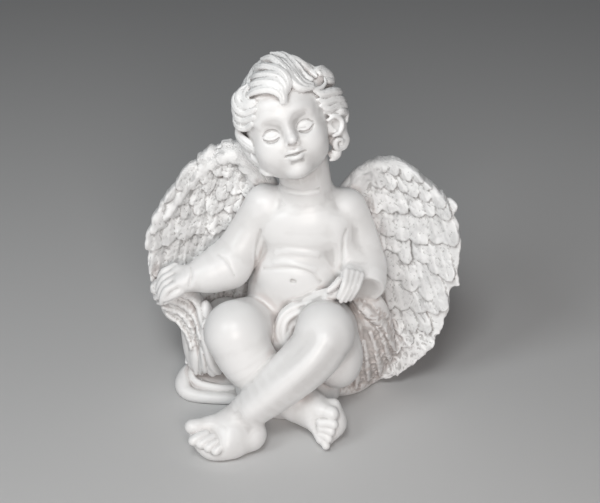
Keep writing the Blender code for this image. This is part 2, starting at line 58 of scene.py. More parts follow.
def window(low, high, axes=AXES):
    """The cells between two corners: their slices, and their x, y and z as thin arrays that spread over
    them."""
    cut = tuple(slice(*np.searchsorted(axis, (a, b))) for axis, a, b in zip(axes, low, high))
    return cut, np.ix_(*(axis[part] for axis, part in zip(axes, cut)))


def join(block, cut, distance, blend):
    """Adds a form: the lower distance, less (blend - gap)^2 / 4 blend where the two lie within blend."""
    here = block[cut]
    ease = np.maximum(blend - np.abs(here - distance), 0)
    np.minimum(here, distance, out=here)
    ease[here > blend] = 0
    here -= ease * ease / (4 * blend)


def carve(block, cut, distance, blend):
    """Takes a form away: the higher of the block and the form turned inside out, eased as join eases."""
    here = block[cut]
    ease = np.maximum(blend - np.abs(here + distance), 0)
    np.maximum(here, -distance, out=here)
    ease[here < -blend] = 0
    here += ease * ease / (4 * blend)


def ball(block, centre, radii, blend, turn=None, work=join):
    """An ellipsoid: distance is k (k - 1) / m, where k is the length of the offset over the radii and m
    that of the offset over the radii squared. turn is the rotation from the ball's axes to the block's."""
    reach = max(radii) + 1.3 * blend + 2 * GRAIN
    cut, spread = window([c - reach for c in centre], [c + reach for c in centre])
    offset = [axis - float(c) for axis, c in zip(spread, centre)]
    if turn is not None:
        offset = [sum(float(turn[row][i]) * offset[row] for row in range(3)) for i in range(3)]
    near = np.sqrt(sum((o / float(r)) ** 2 for o, r in zip(offset, radii)))
    far = np.sqrt(sum((o / float(r * r)) ** 2 for o, r in zip(offset, radii)))
    work(block, cut, near * (near - 1) / np.maximum(far, 1e-4), blend)


def smooth_path(stations, steps):
    """A Catmull-Rom curve through rows of numbers, with this many points to a span."""
    rows = np.asarray(stations, float)
    rows = np.concatenate([2 * rows[:1] - rows[1:2], rows, 2 * rows[-1:] - rows[-2:-1]])
    before, start, end, after = (rows[i : len(rows) - 3 + i, None] for i in range(4))
    t = (np.arange(steps) / steps)[None, :, None]
    path = start + t * (end - before) / 2
    path = path + t**2 * (2 * before - 5 * start + 4 * end - after) / 2
    path = path + t**3 * (3 * start - before - 3 * end + after) / 2
    return np.concatenate([path.reshape(-1, rows.shape[1]), rows[-2:-1]])


def along_path(block, path, width, section, blend, work=join):
    """A form along a path no wider than width: at each point the lowest, over the path's pieces, of the
    distance that section works out from a piece's start and end and the point's offset from its start."""
    reach = width + 1.3 * blend + 2 * GRAIN
    cut, _ = window(path[:, :3].min(0) - reach, path[:, :3].max(0) + reach)
    axes = [axis[part] for axis, part in zip(AXES, cut)]
    distance = np.full([len(axis) for axis in axes], AIR, np.float32)
    for start, end in zip(path, path[1:]):
        low = np.minimum(start, end)[:3] - reach
        high = np.maximum(start, end)[:3] + reach
        part, spread = window(low, high, axes)
        offset = [axis - float(c) for axis, c in zip(spread, start)]
        piece = distance[part]
        np.minimum(piece, section(start, end, offset), out=piece)
    work(block, cut, distance, blend)


def round_section(start, end, offset):
    """Distance to the piece's middle line, less the radius there."""
    way = [float(v) for v in end - start]
    length = max(sum(v * v for v in way[:3]), 1e-6)
    t = np.clip(sum(o * w for o, w in zip(offset, way)) / length, 0, 1)
    away = np.sqrt(sum((o - t * w) ** 2 for o, w in zip(offset, way)))
    return away - float(start[3]) - t * way[3]


def tube(block, stations, blend, steps=4, work=join):
    """A round form along the smooth path through stations (x, y, z, radius)."""
    path = smooth_path(stations, steps)
    along_path(block, path, path[:, 3].max(), round_section, blend, work)


flesh = new_block()
ball(flesh, (-2, 18, 32), (31, 24, 24), 6)
ball(flesh, (0, 15, 62), (28.5, 22.5, 26), 8)
ball(flesh, (3, 12, 78), (26, 20.5, 18), 8)
ball(flesh, (5.5, 16, 99), (26, 18, 25), 8)
tube(flesh, [(-15, 17, 118, 11.5), (7, 18, 119, 13), (29, 17, 117, 11.5)], 8)
tube(flesh, [(8, 18, 110, 21), (8, 17, 127, 15.5), (5, 17.5, 148, 15)], 7)
for side in (-1, 1):
    ball(flesh, (6 + 10 * side, 5, 110), (13, 6, 11), 9)
ball(flesh, (2, 2, 84), (20, 12, 15), 9)


# ---------------------------------------------------------------- arms
# Plump child's arms. The right one rests out to the side. The left is bent: its forearm comes forward
# and ends in a deep fold at the wrist, and the hand rests on the thigh.

ARMS = [
    [(-17, 17, 121, 12), (-25, 15, 107, 12), (-33, 10, 94, 13), (-39, 6, 87, 14)],
    [(-40, 5, 86, 14.2), (-49, 1, 84, 12.5), (-56, -2, 83, 9.5), (-62, -4, 82.5, 7)],
    [(31, 17, 119, 11.5), (36, 16, 106, 12), (39, 13, 94, 13), (40.5, 9, 85, 14)],
    [(41, 9, 82, 14), (41, 0, 79, 14)],
]
for stations in ARMS:
    tube(flesh, stations, 3.5)
tube(flesh, [(24, 8, 112, 8), (28, 6, 100, 8), (32, 4, 90, 9)], 5)
ball(flesh, (41, -39, 66), (40, 36, 34), 0.9, work=carve)


# ---------------------------------------------------------------- hands
# Small soft hands. The fingers lie side by side, and each is one tapering tube bent at its joints.

# How far along a finger, how far out as a share of its thickness, and the thickness there.
FINGER_BENDS = [
    (-0.15, 0.3, 1.15), (0.25, 1.3, 1.05), (0.45, 1.35, 1.12), (0.75, 0.7, 0.98), (1.0, -0.3, 0.8),
]


def hand(wrist, knuckles, tips, spread, finger, thumb, curl):
    """A palm as two tubes from the wrist to the knuckles, four fingers across spread that close towards
    their tips by the share curl, and a thumb."""
    wrist, knuckles, tips, spread = (np.array(v, float) for v in (wrist, knuckles, tips, spread))
    bow = np.cross(tips - knuckles, spread)
    bow *= finger / np.linalg.norm(bow)
    for share in (-0.28, 0.28):
        heel = wrist + spread * share * 0.8
        middle = (wrist + knuckles) / 2 + spread * share + bow * 0.4
        front = knuckles + spread * share - bow * 0.5
        tube(flesh, [(*heel, finger * 2.4), (*middle, finger * 2.2), (*front, finger * 1.7)], 2.5, 3)
    for i in range(4):
        start = knuckles + spread * (i / 3 - 0.5)
        reach = (tips - knuckles) * (1.0 - 0.09 * abs(i - 1.3)) - spread * (i / 3 - 0.5) * curl
        joints = [(*(start + reach * along + bow * out), finger * size) for along, out, size in FINGER_BENDS]
        tube(flesh, joints, 0.6, 3)
    tube(flesh, thumb, 1.2, 3)


hand(
    wrist=(-63, -4, 82.5),
    knuckles=(-70.5, -4, 83),
    tips=(-81, -6, 73.5),
    spread=(2, -12.4, -4.8),
    finger=2.15,
    thumb=[(-63, -8, 80, 3.2), (-69, -12, 77.5, 2.8), (-75, -12.5, 74, 2.2)],
    curl=-0.12,
)
hand(
    wrist=(35.5, -4, 88),
    knuckles=(34, -15, 90.5),
    tips=(28.6, -25.5, 80),
    spread=(8.5, 1.5, -3.5),
    finger=1.75,
    thumb=[(29, -11, 89, 2.6), (24.5, -17, 86.5, 2.2), (20, -20, 84, 1.7)],
    curl=0.22,
)


# ---------------------------------------------------------------- legs
# Fat thighs come forward, and the left shin, with a soft edge down its front, crosses over the right one.

LEGS = [
    [(-17, 18, 32, 21), (-27, -4, 47, 19.5), (-34, -28, 62, 17.6)],
    [(-34.5, -30, 61, 17.6), (-27, -34, 46, 16.5), (-15, -37, 32, 13.5), (-1, -40, 20, 11)],
    [(17, 18, 32, 21), (19, -8, 50, 19), (18, -35, 66.5, 16.4)],
    [(18, -37, 65, 16.4), (10, -43, 54, 16), (-8, -50, 39, 14), (-25, -54, 24.8, 11),
     (-35, -57, 18.5, 7.8)],
]
for stations in LEGS:
    tube(flesh, stations, 3)
ball(flesh, (26, -24, 41), (15, 15, 21), 5)
tube(flesh, [(18, -50, 70, 4), (9, -57, 60, 4), (-8, -61, 45, 3.6), (-24, -62, 31, 3)], 7)


# ---------------------------------------------------------------- feet
# Chubby feet lying on their outer edges. The toes are packed side by side on top, and the pad of the
# sole shows beyond them.


def foot(heel, instep, pad, big_toe, second_toe, little_toe, outer):
    """A sole from the heel to the middle of the pad, an instep over it, the pad itself, and five toes: the
    big one, then the second to the little one at even steps. outer is the half width of its outer edge."""
    heel, instep, pad = (np.array(v, float) for v in (heel, instep, pad))
    big, second, little = (np.array(v, float) for v in (big_toe, second_toe, little_toe))
    middle = pad[1:3, :3].mean(0)
    tube(flesh, [(*heel, 10.2), (*((heel + middle) / 2), 9.8), (*middle, 7.2)], 4)
    tube(flesh, [(*instep, 8.8), (*((instep + big[0]) / 2), 7.4), (*big[0], 5.2)], 5)
    tube(flesh, [(*instep, 8.0), (*((instep + little[0]) / 2), outer), (*little[0], 0.55 * outer)], 5)
    tube(flesh, pad, 4)
    tube(flesh, [(*big[0], 4.6), (*big.mean(0), 4.5), (*big[1], 4.3)], 1.0, 3)
    for i in range(4):
        root, tip = second + (little - second) * i / 3
        radius = 2.9 - 0.14 * i
        knuckle = root * 0.45 + tip * 0.55 + (0, 0, 0.5)
        tube(flesh, [(*root, radius * 0.9), (*knuckle, radius * 0.95), (*tip, radius)], 0.4, 3)


foot(
    heel=(-26, -59, 10.2),
    instep=(-36, -58.5, 15.5),
    pad=[(-55, -65, 13, 5.6), (-49.5, -67.5, 9, 6.6), (-42.5, -68, 7.5, 6.8), (-36, -66.5, 7.5, 6.8)],
    big_toe=[(-50, -61.5, 18.5), (-58.5, -64, 19.5)],
    second_toe=[(-50.5, -68, 17), (-57.5, -71.5, 15.2)],
    little_toe=[(-38, -71.3, 13.2), (-44.5, -75.6, 10.8)],
    outer=7.6,
)
foot(
    heel=(4, -38.5, 14.5),
    instep=(10, -42.5, 18.5),
    pad=[(23, -47, 21.5, 4.4), (24.4, -48.5, 14.5, 5), (22.6, -52, 8.4, 5.2), (18.5, -57, 5, 4.4)],
    big_toe=[(16, -51, 21.5), (22, -54.5, 21.5)],
    second_toe=[(15.5, -57, 16.6), (23, -58.6, 17)],
    little_toe=[(15.5, -60, 7.8), (18.6, -62.6, 4.6)],
    outer=5.2,
)


# ---------------------------------------------------------------- head and face
# The head is turned out to the viewer, tipped back and leant to its right shoulder. The face is a
# plain sleeping child's on even proportions: eyes closed, halfway down, small nose and mouth.

HEAD_CENTRE = np.array((-6.6, 15.5, 176.5))
HEAD_SIZE = 0.948  # against the half sizes and stations below
HEAD_TURN = Matrix.Rotation(math.radians(6), 3, "Z")
HEAD_PITCH = Matrix.Rotation(math.radians(-18), 3, "X")
HEAD_ROLL = Matrix.Rotation(math.radians(-15), 3, "Y")
HEAD_AXES = np.array(HEAD_TURN @ HEAD_PITCH @ HEAD_ROLL)


def on_head(stations):
    """Stations given towards the head's left, its face and its crown, with any sizes kept after them."""
    rows = np.array(stations, float) * HEAD_SIZE
    rows[..., 1] *= -1
    rows[..., :3] = rows[..., :3] @ HEAD_AXES.T + HEAD_CENTRE
    return rows


def head_ball(centre, radii, blend, work=join):
    """A ball whose axes are the head's own."""
    ball(head, on_head(centre), np.array(radii) * HEAD_SIZE, blend, HEAD_AXES, work)


def head_tube(stations, blend, work=join):
    """A tube through stations given in the head's directions."""
    tube(head, on_head(stations), blend, 4, work)


def both_sides(stations):
    """The stations as they are, and mirrored to the head's other side."""
    return [stations, [(-s[0], *s[1:]) for s in stations]]


head = new_block()
head_ball((2, -1, 4), (25.5, 29, 25.5), 4)
head_ball((0, 8, -9), (21.5, 20.5, 21.5), 8)
head_ball((0, 9.5, 9), (22, 20.5, 17), 6)
head_ball((-0.5, 20.5, -27.5), (7.5, 6.5, 6), 6)
head_ball((0, 6, -26), (15, 14, 9), 7)
for side in (-1, 1):
    head_ball((11 * side, 17.5, -14.5), (9.5, 9.5, 9.5), 7)
    head_ball((12 * side, 8, -21), (9, 10, 8), 6)
    head_ball((9.5 * side, 30.0, -2.5), (7.5, 4.4, 4.8), 5, carve)
    head_ball((10.3 * side, 20.8, -4.8), (5.2, 4.8, 3.8), 1.8)
for brow in both_sides([(4.5, 27.0, 4.2, 1.5), (9, 26.6, 6.4, 1.8), (15, 23.0, 4.6, 1.4)]):
    head_tube(brow, 4)
under_brow = [(4.0, 30.6, -3.5, 1.0), (4.8, 31.2, 0.2, 1.3), (8, 31.0, 2.6, 1.4), (12.5, 29.0, 2.4, 1.0)]
for stations in both_sides(under_brow):
    head_tube(stations, 4, carve)
head_tube([(0, 26.0, 3, 2.6), (0.1, 27.0, -3, 2.3), (0.3, 29.6, -7.5, 2.0)], 4)
head_ball((0.5, 30.8, -9.4), (2.9, 2.8, 2.5), 1.6)
for wing_of_nose in both_sides([(2.6, 28.9, -10.8, 1.3), (2.9, 28.7, -11.5, 1.4)]):
    head_tube(wing_of_nose, 0.9)
for nostril in both_sides([(1.7, 31.4, -12.7, 0.85), (1.9, 29.5, -11.9, 0.9)]):
    head_tube(nostril, 0.5, carve)
head_tube([(0, 30.4, -13.2, 0.5), (0, 30.6, -14.6, 0.7)], 1.4, carve)
head_ball((0, 22.5, -18.5), (8.0, 5.6, 6.0), 4)
upper_lip = [(0, 28.8, -16.7, 1.25), (2, 29.0, -16.2, 1.5), (4.2, 27.8, -17.0, 1.15), (6.2, 25.6, -18.0, 0.6)]
for stations in both_sides(upper_lip):
    head_tube(stations, 0.6)
lower_lip = [(-4.6, 26.6, -19.2, 0.9), (-2, 28.3, -20.1, 1.9), (2, 28.3, -20.1, 1.9), (4.6, 26.6, -19.2, 0.9)]
head_tube(lower_lip, 0.6)
head_tube([(-3.2, 27.8, -23.6, 0.5), (0, 28.8, -24.0, 0.8), (3.2, 27.8, -23.6, 0.5)], 2.6, carve)


def sample(block, points):
    """The block's value at each point, weighed from the eight grid points round it."""
    place = (points - np.array(BLOCK_LOW)) / GRAIN
    base = np.clip(np.floor(place).astype(int), 0, np.array(block.shape) - 2)
    part = place - base
    value = 0.0
    for corner in np.ndindex(2, 2, 2):
        weight = np.prod(np.where(corner, part, 1 - part), axis=-1)
        value = value + weight * block[tuple(np.moveaxis(base + corner, -1, 0))]
    return value


def laid_on(block, stations, direction, lift=0.0):
    """Moves stations back along direction, then forward to where they first meet the block's surface. Those
    that never meet it stay where they are."""
    rows = np.array(stations, float)
    way = np.array(direction, float) / np.linalg.norm(direction)
    travel = np.arange(-30, 60, GRAIN / 3)
    values = sample(block, rows[:, None, :3] + way * travel[None, :, None])
    met = values < 0
    first = np.where(met.any(axis=1), travel[np.argmax(met, axis=1)], 0)
    rows[:, :3] += way * (first - lift)[:, None]
    return rows


def crease(block, stations, direction, blend, lift=0.0, work=carve):
    """A fine tube along the surface itself, cut in or, with join, raised."""
    tube(block, laid_on(block, smooth_path(stations, 3), direction, lift), blend, 1, work)


FACE_INWARD = HEAD_AXES @ np.array((0, 1, 0))


def face_line(points, side, blend, lift, work=carve):
    """A crease on the face through points (across to this side, up, radius), laid on from in front."""
    stations = on_head([(side * across, 20, up, size) for across, up, size in points])
    crease(head, stations, FACE_INWARD, blend, lift, work)


# Each lid is edged by a thin raised rim, with the line of the lashes below it and a fold over it.
LASH = [(6.0, -6.6, 0.5), (8.0, -7.6, 0.85), (10.3, -8.0, 0.95), (12.7, -7.4, 0.85), (15.2, -5.4, 0.5)]
LID_RIM = [(6.2, -5.5, 0.4), (8.1, -6.3, 0.65), (10.3, -6.6, 0.7), (12.6, -6.1, 0.65), (14.8, -4.5, 0.4)]
LID_FOLD = [(5.4, -4.0, 0.4), (7.0, -2.2, 0.7), (10, -1.2, 0.8), (13.0, -1.8, 0.7), (15.6, -3.8, 0.4)]
for side in (-1, 1):
    face_line(LID_RIM, side, 0.8, 0.1, join)
    face_line(LASH, side, 0.3, -0.4)
    face_line(LID_FOLD, side, 0.5, -0.2)
mouth_line = [(-6.3, -18.3, 0.6), (-3.0, -17.9, 0.7), (0, -18.3, 0.8), (3.0, -17.9, 0.7), (6.3, -18.3, 0.6)]
face_line(mouth_line, 1, 0.4, -0.3)


# ---------------------------------------------------------------- creases of the body
# Fine rolls and folds of baby fat are worked into the skin last: round the neck, over the belly, at
# the navel, in the armpits and at the joints.

INTO_FRONT = (0, 1, -0.35)
RAISED_LINES = [
    ([(-8, 0, 138.5, 0.5), (-3.5, 0, 137.3, 0.8), (5, 0, 136.2, 0.8), (14, 0, 137.2, 0.6)], 1.0),
    ([(-10, -4, 99.9, 0.2), (-3.3, -6, 102.3, 0.4), (7, -5, 101, 0.4), (13, -1, 98.5, 0.2)], 3.0),
    ([(-11, -4, 93.6, 0.2), (-4.3, -7, 95.1, 0.6), (5, -6, 92.3, 0.6), (11, -1, 88.5, 0.2)], 3.0),
]
SKIN_CREASES = [
    ([(-8, 0, 140.5, 0.4), (-3, 0, 139, 0.6), (5, 0, 138, 0.6), (14, 0, 139.2, 0.4)], 1.6),
    ([(-18, -3, 88.6, 0.1), (-8.5, -6, 91, 0.3), (2, -8, 91.7, 0.35), (10.2, -6, 88.1, 0.3),
      (15.5, -2, 81, 0.1)], 2.8),
    ([(-19.5, 0, 112, 0.2), (-20.5, 0, 108, 0.4), (-22, 0, 98, 0.5), (-22.8, 0, 89, 0.3)], 2.0),
    ([(30.6, 0, 113, 0.2), (29, 0, 107.5, 0.5), (28, 0, 93, 0.7), (26.6, 0, 84.5, 0.5)], 1.8),
    ([(-44, 0, 97, 0.1), (-40, 0, 94.5, 0.3), (-37, 0, 90, 0.3), (-35, 0, 84, 0.1)], 1.6),
    ([(-61, 0, 89, 0.5), (-60, 0, 84, 0.7), (-61.5, 0, 78, 0.6)], 1.2),
]
for stations, blend in RAISED_LINES:
    crease(flesh, stations, INTO_FRONT, blend, -0.2, join)
for stations, blend in SKIN_CREASES:
    crease(flesh, stations, INTO_FRONT, blend)
crease(flesh, [(-1.0, -9, 84.4, 1.0), (0.2, -9, 84.0, 1.0)], INTO_FRONT, 1.2, -0.4)
for side in (-1, 1):
    ball(flesh, (6 + 11 * side, -0.6, 111), (1.6, 1.1, 1.6), 1.2)


# ---------------------------------------------------------------- hair
# Short, thick curls laid over the skull like ribbons: a forelock swept over to the child's left, curls
# that turn back from the face down both sides, and rows of loose curls round the back.

HAIR_MIDDLE = np.array((4.0, -3.0, 5.0))
STRAND_WIDTH = 1.8
STRAND_DEPTH = 0.85


def lock(stations, width, thickness, lift=0.0, laid=None):
    """A ribbon of hair through points in the head's directions. Its section is an ellipse, wide across
    the skull and thin away from it, swelling to mid length. Sharp grooves with round backs between them
    run along it as strands, and lift turns its section, in degrees, to raise one edge off the head. Where
    the block laid would cover a station, that is brought forward to its surface."""
    rows = np.array(stations, float)
    lift = math.radians(lift)
    share = np.linspace(0, 1, len(rows))
    swell = 0.15 + 0.85 * np.sin(math.pi * np.clip(share * 0.88 + 0.04, 0, 1)) ** 0.6
    outward = rows - HAIR_MIDDLE
    outward[:, 1] *= -1
    spots = on_head(rows)
    if laid is not None:
        clear = laid_on(laid, spots, FACE_INWARD, 0.2 * thickness)
        spots = np.where(((clear - spots) @ FACE_INWARD < 0)[:, None], clear, spots)
    rows = np.column_stack([spots, width * swell, thickness * swell, outward @ HEAD_AXES.T])

    def section(start, end, offset):
        """The ellipsoid's distance, k (k - 1) / m as for a ball, plus the depth of the grooves."""
        way = (end - start)[:3]
        length = np.linalg.norm(way)
        way = way / length
        out = (start + end)[5:]
        out = out - way * out.dot(way)
        out /= np.linalg.norm(out)
        side = np.cross(way, out)
        out, side = out * math.cos(lift) + side * math.sin(lift), side * math.cos(lift) - out * math.sin(lift)
        directions = (way, side, out)
        along, across, above = (sum(o * float(d) for o, d in zip(offset, axis)) for axis in directions)
        t = np.clip(along / length, 0, 1)
        half_width = start[3] + t * (end[3] - start[3])
        half_depth = start[4] + t * (end[4] - start[4])
        past = (along - t * length) / half_depth
        across = across / half_width
        above = above / half_depth
        near = np.sqrt(across**2 + above**2 + past**2)
        far = np.sqrt((across / half_width) ** 2 + (above / half_depth) ** 2 + (past / half_depth) ** 2)
        strands = 1 - np.abs(np.sin(math.pi * (across * half_width / STRAND_WIDTH + 0.5))) ** 0.7
        value = near * (near - 1) / np.maximum(far, 1e-4)
        value += STRAND_DEPTH * strands * np.clip(1.2 - np.abs(across), 0, 1)
        return value

    along_path(head, smooth_path(rows, 6), width, section, 0.6)


bare_head = head.copy()
HAIR_MASSES = [
    ((5, -3, 4.5), (27, 27, 27)),
    ((3, -5, -8), (25, 24, 20)),
    ((6.5, 1, 21), (18, 19, 16)),
    ((1, 4.5, 26.5), (11, 12, 9.5)),
    ((27, 4, 18.5), (8, 8, 5.5)),
    ((33.5, 3, 14.5), (3.4, 5, 5)),
    ((30, 2, -8), (7, 9, 14)),
    ((29, 3.5, -21.5), (6, 5, 6)),
    ((24, 5, -29), (4, 4, 3)),
    ((-21, 9.5, -16), (3, 4, 4)),
    ((-18.5, 9, -24.5), (3, 4, 4)),
]
for centre, radii in HAIR_MASSES:
    head_ball(centre, radii, 3)
scalp = head.copy()  # what the locks are laid on

# The underside of the forelock is scooped first, so that the lock stands clear of the brow.
scoop = [(-13.5, 24.5, 18, 1.2), (-9, 27, 18.6, 1.9), (-4, 28.6, 18.4, 1.9), (-0.5, 29.5, 15.8, 1.2)]
head_tube(scoop, 2, carve)
FORELOCK = [
    [(-1.5, 3, 37.6), (3.9, 11.5, 36.8), (7.4, 18.5, 31.4), (9.6, 23, 26.5), (9.6, 25.5, 21.8)],
    [(-7.5, 4, 33.8), (-2.5, 13.5, 34), (3.5, 20.5, 31), (7, 25, 27), (7.8, 27, 22), (6.4, 28, 18)],
    [(-11, 7, 29.3), (-6.8, 16.5, 30), (-1.1, 22.5, 28.9), (3.8, 26, 26), (5.8, 28, 21.5), (4.8, 29, 16.8)],
    [(-13.6, 11, 24.6), (-10.6, 19, 26.4), (-5.6, 23.8, 26.2), (0.4, 27.2, 24.3), (3.4, 28.6, 20.5),
     (3.3, 29.8, 15.5)],
]
for stations in FORELOCK:
    lock(stations, 2.9, 3.2, 0, scalp)
fringe = [
    (-16, 16, 20.8), (-13.6, 20.8, 22.6), (-8.8, 25, 23.4), (-3.2, 27.8, 22.6), (0.8, 29.4, 19.8),
    (2.6, 30.2, 16), (1.8, 30.4, 12.3),
]
lock(fringe, 3.6, 2.4, -22, scalp)

SWEEP = [
    [(8, -6, 37), (15, -4, 33), (20, 1, 27.5), (24, 7, 24), (28, 10, 20.5)],
    [(12, -1, 35.5), (16, 3, 32.4), (19.5, 6, 27.8), (22.6, 10, 23.4), (25.3, 13.5, 19.8)],
    [(7, -2, 38.2), (12, 3, 35.8), (15.6, 9, 29.6), (17.4, 14.4, 24.8), (19.8, 18, 20.6), (23.4, 18.8, 18)],
    [(5, 1, 39), (10.2, 7, 36), (12.9, 14, 29.8), (14.5, 19, 24.4), (17, 21.6, 19.4), (21.6, 21, 16.6)],
    [(3.6, 7, 37.6), (8.6, 13, 34), (11.4, 18.6, 28.6), (12.9, 22.6, 23), (15.8, 23.8, 18.2),
     (21, 22.2, 15.4)],
    [(4, 14, 34), (8, 19, 30.6), (9.8, 23, 25.4), (11, 25.4, 20.6), (14.6, 25.4, 16.8), (20, 23.4, 14.6)],
]
for stations in SWEEP:
    lock(stations, 2.5, 3.0, 0, scalp)

# An open curl ends the sweep: a hollow with a raised rim, and frizzy tufts behind it.
head_ball((25.6, 19, 17), (3.4, 3.0, 2.3), 1.0, carve)
curl_rim = [
    (19.3, 23, 15, 0.9), (22.6, 21.4, 13.6, 1.1), (26.6, 18.4, 13, 1.2), (29.8, 15.2, 14.6, 1.0),
    (30, 13.4, 17.2, 0.7),
]
head_tube(curl_rim, 0.7)
TUFTS = [
    [(24.5, 13, 21.5), (27.5, 10, 22.6), (30.6, 6, 22.2), (33.4, 2, 20.8)],
    [(28, 12.5, 19.4), (30.6, 9.5, 19.4), (33.4, 6, 18), (35.2, 2, 16.6)],
    [(30, 13.6, 15.4), (32, 10.5, 14.4), (34, 7, 13.4), (35.4, 3, 12)],
]
for stations in TUFTS:
    lock(stations, 2.0, 2.2, -20)

# The side of the crown is brushed down behind the forelock.
CROWN = [
    [(-1, -8, 36), (-6, -4, 33), (-10, 1, 29.5), (-12.6, 6, 26.6), (-14, 11, 23.6)],
    [(-8, -12, 29), (-12, -8, 27), (-15.6, -3, 24), (-18, 3, 21), (-20, 8, 18.4)],
    [(-12, -16, 25), (-16.6, -12, 22), (-19.8, -7, 18.6), (-21.6, -2, 15), (-23, 3, 11.6)],
]
for stations in CROWN:
    lock(stations, 2.8, 2.6)

RIGHT_WAVES = [
    [(21.6, 22, 12.4), (25.4, 19, 9.4), (31, 14.4, 8.2), (35.3, 9, 7), (38.4, 2, 4.8)],
    [(22.4, 20.6, 7), (25.9, 17.4, 4), (31, 12.8, 3.4), (35.9, 7.5, 1.8), (38.8, 1, -1)],
    [(22.8, 19.2, 2.8), (26.6, 15.8, -0.4), (32, 10.8, -0.8), (36.8, 5, -2.4), (38.8, 0, -4.4)],
    [(24.3, 16.4, -1.8), (29, 12, -4.2), (34, 7.8, -5), (37, 2, -7.8), (36, -2, -11.5)],
]
LEFT_WAVES = [
    [(-13.6, 13, 25.5), (-16.2, 14.5, 22.8), (-17.6, 17, 19.5), (-16.4, 19.5, 17), (-13.6, 21.5, 17.6)],
    [(-14.1, 12, 26.6), (-18.1, 12, 24.5), (-20.8, 14, 21.7), (-20.5, 16.5, 17.6), (-17.5, 19, 15.5),
     (-13.8, 21.5, 16.7)],
    [(-18.8, 10, 25.1), (-22.4, 9, 21.9), (-24, 12, 18.1), (-23.2, 15.5, 14.3), (-20, 18.5, 12),
     (-15.1, 21, 13.1)],
    [(-22.5, 3, 21), (-24.6, 6, 16.4), (-25, 9, 12.8), (-24.4, 13, 9.6), (-21.6, 17, 8.1),
     (-16.9, 19.5, 8.9)],
    [(-25, 1, 15), (-26, 5, 10), (-26.2, 9, 6.6), (-24.9, 13, 4.4), (-22, 16, 3.5), (-18.7, 18.5, 5.2)],
]
for stations in RIGHT_WAVES:
    lock(stations, 2.7, 2.8, -30, scalp)
for stations in LEFT_WAVES:
    lock(stations, 2.7, 3.0, -25, scalp)

# The ear shows between the curls: a shallow bowl with a rolled rim.
head_ball((28, 8.5, -11.5), (6.5, 5.0, 6.5), 2)
head_ball((28.5, 15.5, -11.5), (3.6, 4.4, 4.8), 1.2, carve)
ear_rim = [
    (25, 15.5, -7, 1.1), (29, 14.5, -6, 1.3), (32.5, 12, -9, 1.4), (32.5, 11.5, -13, 1.4),
    (29.5, 12.5, -16.5, 1.3), (25.5, 13.5, -17, 1.1),
]
head_tube(ear_rim, 0.8)

# Loose curls fall in front of and below the ears: (points, width, thickness, lift).
LOOSE = [
    ([(-27.2, 4, 5), (-27.8, 6.5, -0.3), (-26, 10.5, -4.3), (-23, 13.5, -8), (-20.8, 15.5, -10.4),
      (-19.2, 17, -7.5)], 3.4, 2.4, -20),
    ([(-26, 1, 4), (-26.5, 3, -4), (-24.5, 6, -10), (-22, 9, -14)], 3.4, 2.4, 0),
    ([(-23.3, 10.8, -11), (-23.8, 11, -15), (-21.8, 12.8, -17.6), (-18.9, 15, -18.2),
      (-19.6, 15.6, -15.2)], 1.8, 1.8, 0),
    ([(-20.3, 11.2, -20.8), (-20.8, 11.4, -24.2), (-18.5, 13.6, -26.6), (-16, 14.6, -27.6)], 1.8, 1.8, 0),
    ([(31, 8, -15.5), (33, 5.4, -18.2), (33.6, 4.4, -22.4), (31.6, 4.6, -25.6), (28.6, 6.4, -26.6),
      (25.6, 8.8, -25.2), (25.2, 10.4, -22), (27.4, 10.4, -20.2), (29.8, 9.2, -21.2),
      (29.8, 8.2, -23.6)], 1.6, 1.9, 0),
    ([(22.6, 8.4, -26.4), (25.6, 5.6, -29), (23.6, 5.6, -31), (20.2, 7, -31.4)], 1.7, 1.8, 0),
    ([(34, -6, 4), (35.5, -4, -4), (34, -3, -12), (32.5, -2, -19), (28.5, -2, -26)], 4.0, 3.0, 0),
    ([(-25, -6, 4), (-26, -3, -4), (-25, -1, -12), (-22.5, 1, -19), (-20, 3, -24)], 4.0, 3.0, 0),
]
for stations, width, thickness, lift in LOOSE:
    lock(stations, width, thickness, lift)


def back_curl(angle, height, swing):
    """An S-shaped curl that hangs at this angle from straight back and swings to both sides. Its points lie
    about 25 mm out over a ball, so each one's reach is 25 times the root of one less its level squared."""
    sway = np.array((-0.6, 0.6, 1.0, 0.1, -0.9, -0.6)) * swing + angle
    drop = np.array((-9.0, -4.0, 1.0, 6.0, 9.5, 13.0))
    up = height - drop
    level = np.clip((up - HAIR_MIDDLE[2]) / 29.0, -0.98, 0.98)
    reach = 25.0 * np.sqrt(1 - level**2) + np.array((-1.5, 0.6, 1.2, 0.8, 0.4, -1.2))
    lock(np.column_stack([np.sin(sway) * reach + 5.5, -np.cos(sway) * reach - 4, up]), 3.8, 3.2)


# Each row round the back: (height, how many, how far round to each side in degrees).
BACK_ROWS = [(27, 5, 66), (19, 8, 76), (10, 9, 80), (-1, 9, 80), (-13, 9, 80)]
for row, (height, count, spread) in enumerate(BACK_ROWS):
    for i in range(count):
        angle = math.radians(spread * (2 * (i + 0.5 * (row % 2)) / (count - 0.5) - 1))
        back_curl(angle, height, 0.2 if (i + row) % 2 else -0.2)


# ---------------------------------------------------------------- wings
# Two cupped wings of unequal height rise behind the shoulders. Each is a shield drawn in front view,
# with rows of overlapping feathers modelled on both faces and a thick smooth edge over the top.

WING_HALF = 3.2  # half the thickness under the feathers
RIM_ROUND = 2.4
x_map, z_map = np.meshgrid(AXES[0], AXES[2], indexing="ij")


def wing_middle(x, z):
    """Depth of a wing's middle surface: level near the back, coming forward by a square law outwards and
    downwards."""
    return 36 - 30 * (np.maximum(np.abs(x) - 30, 0) / 60) ** 2 - 26 * (np.maximum(85 - z, 0) / 80) ** 2


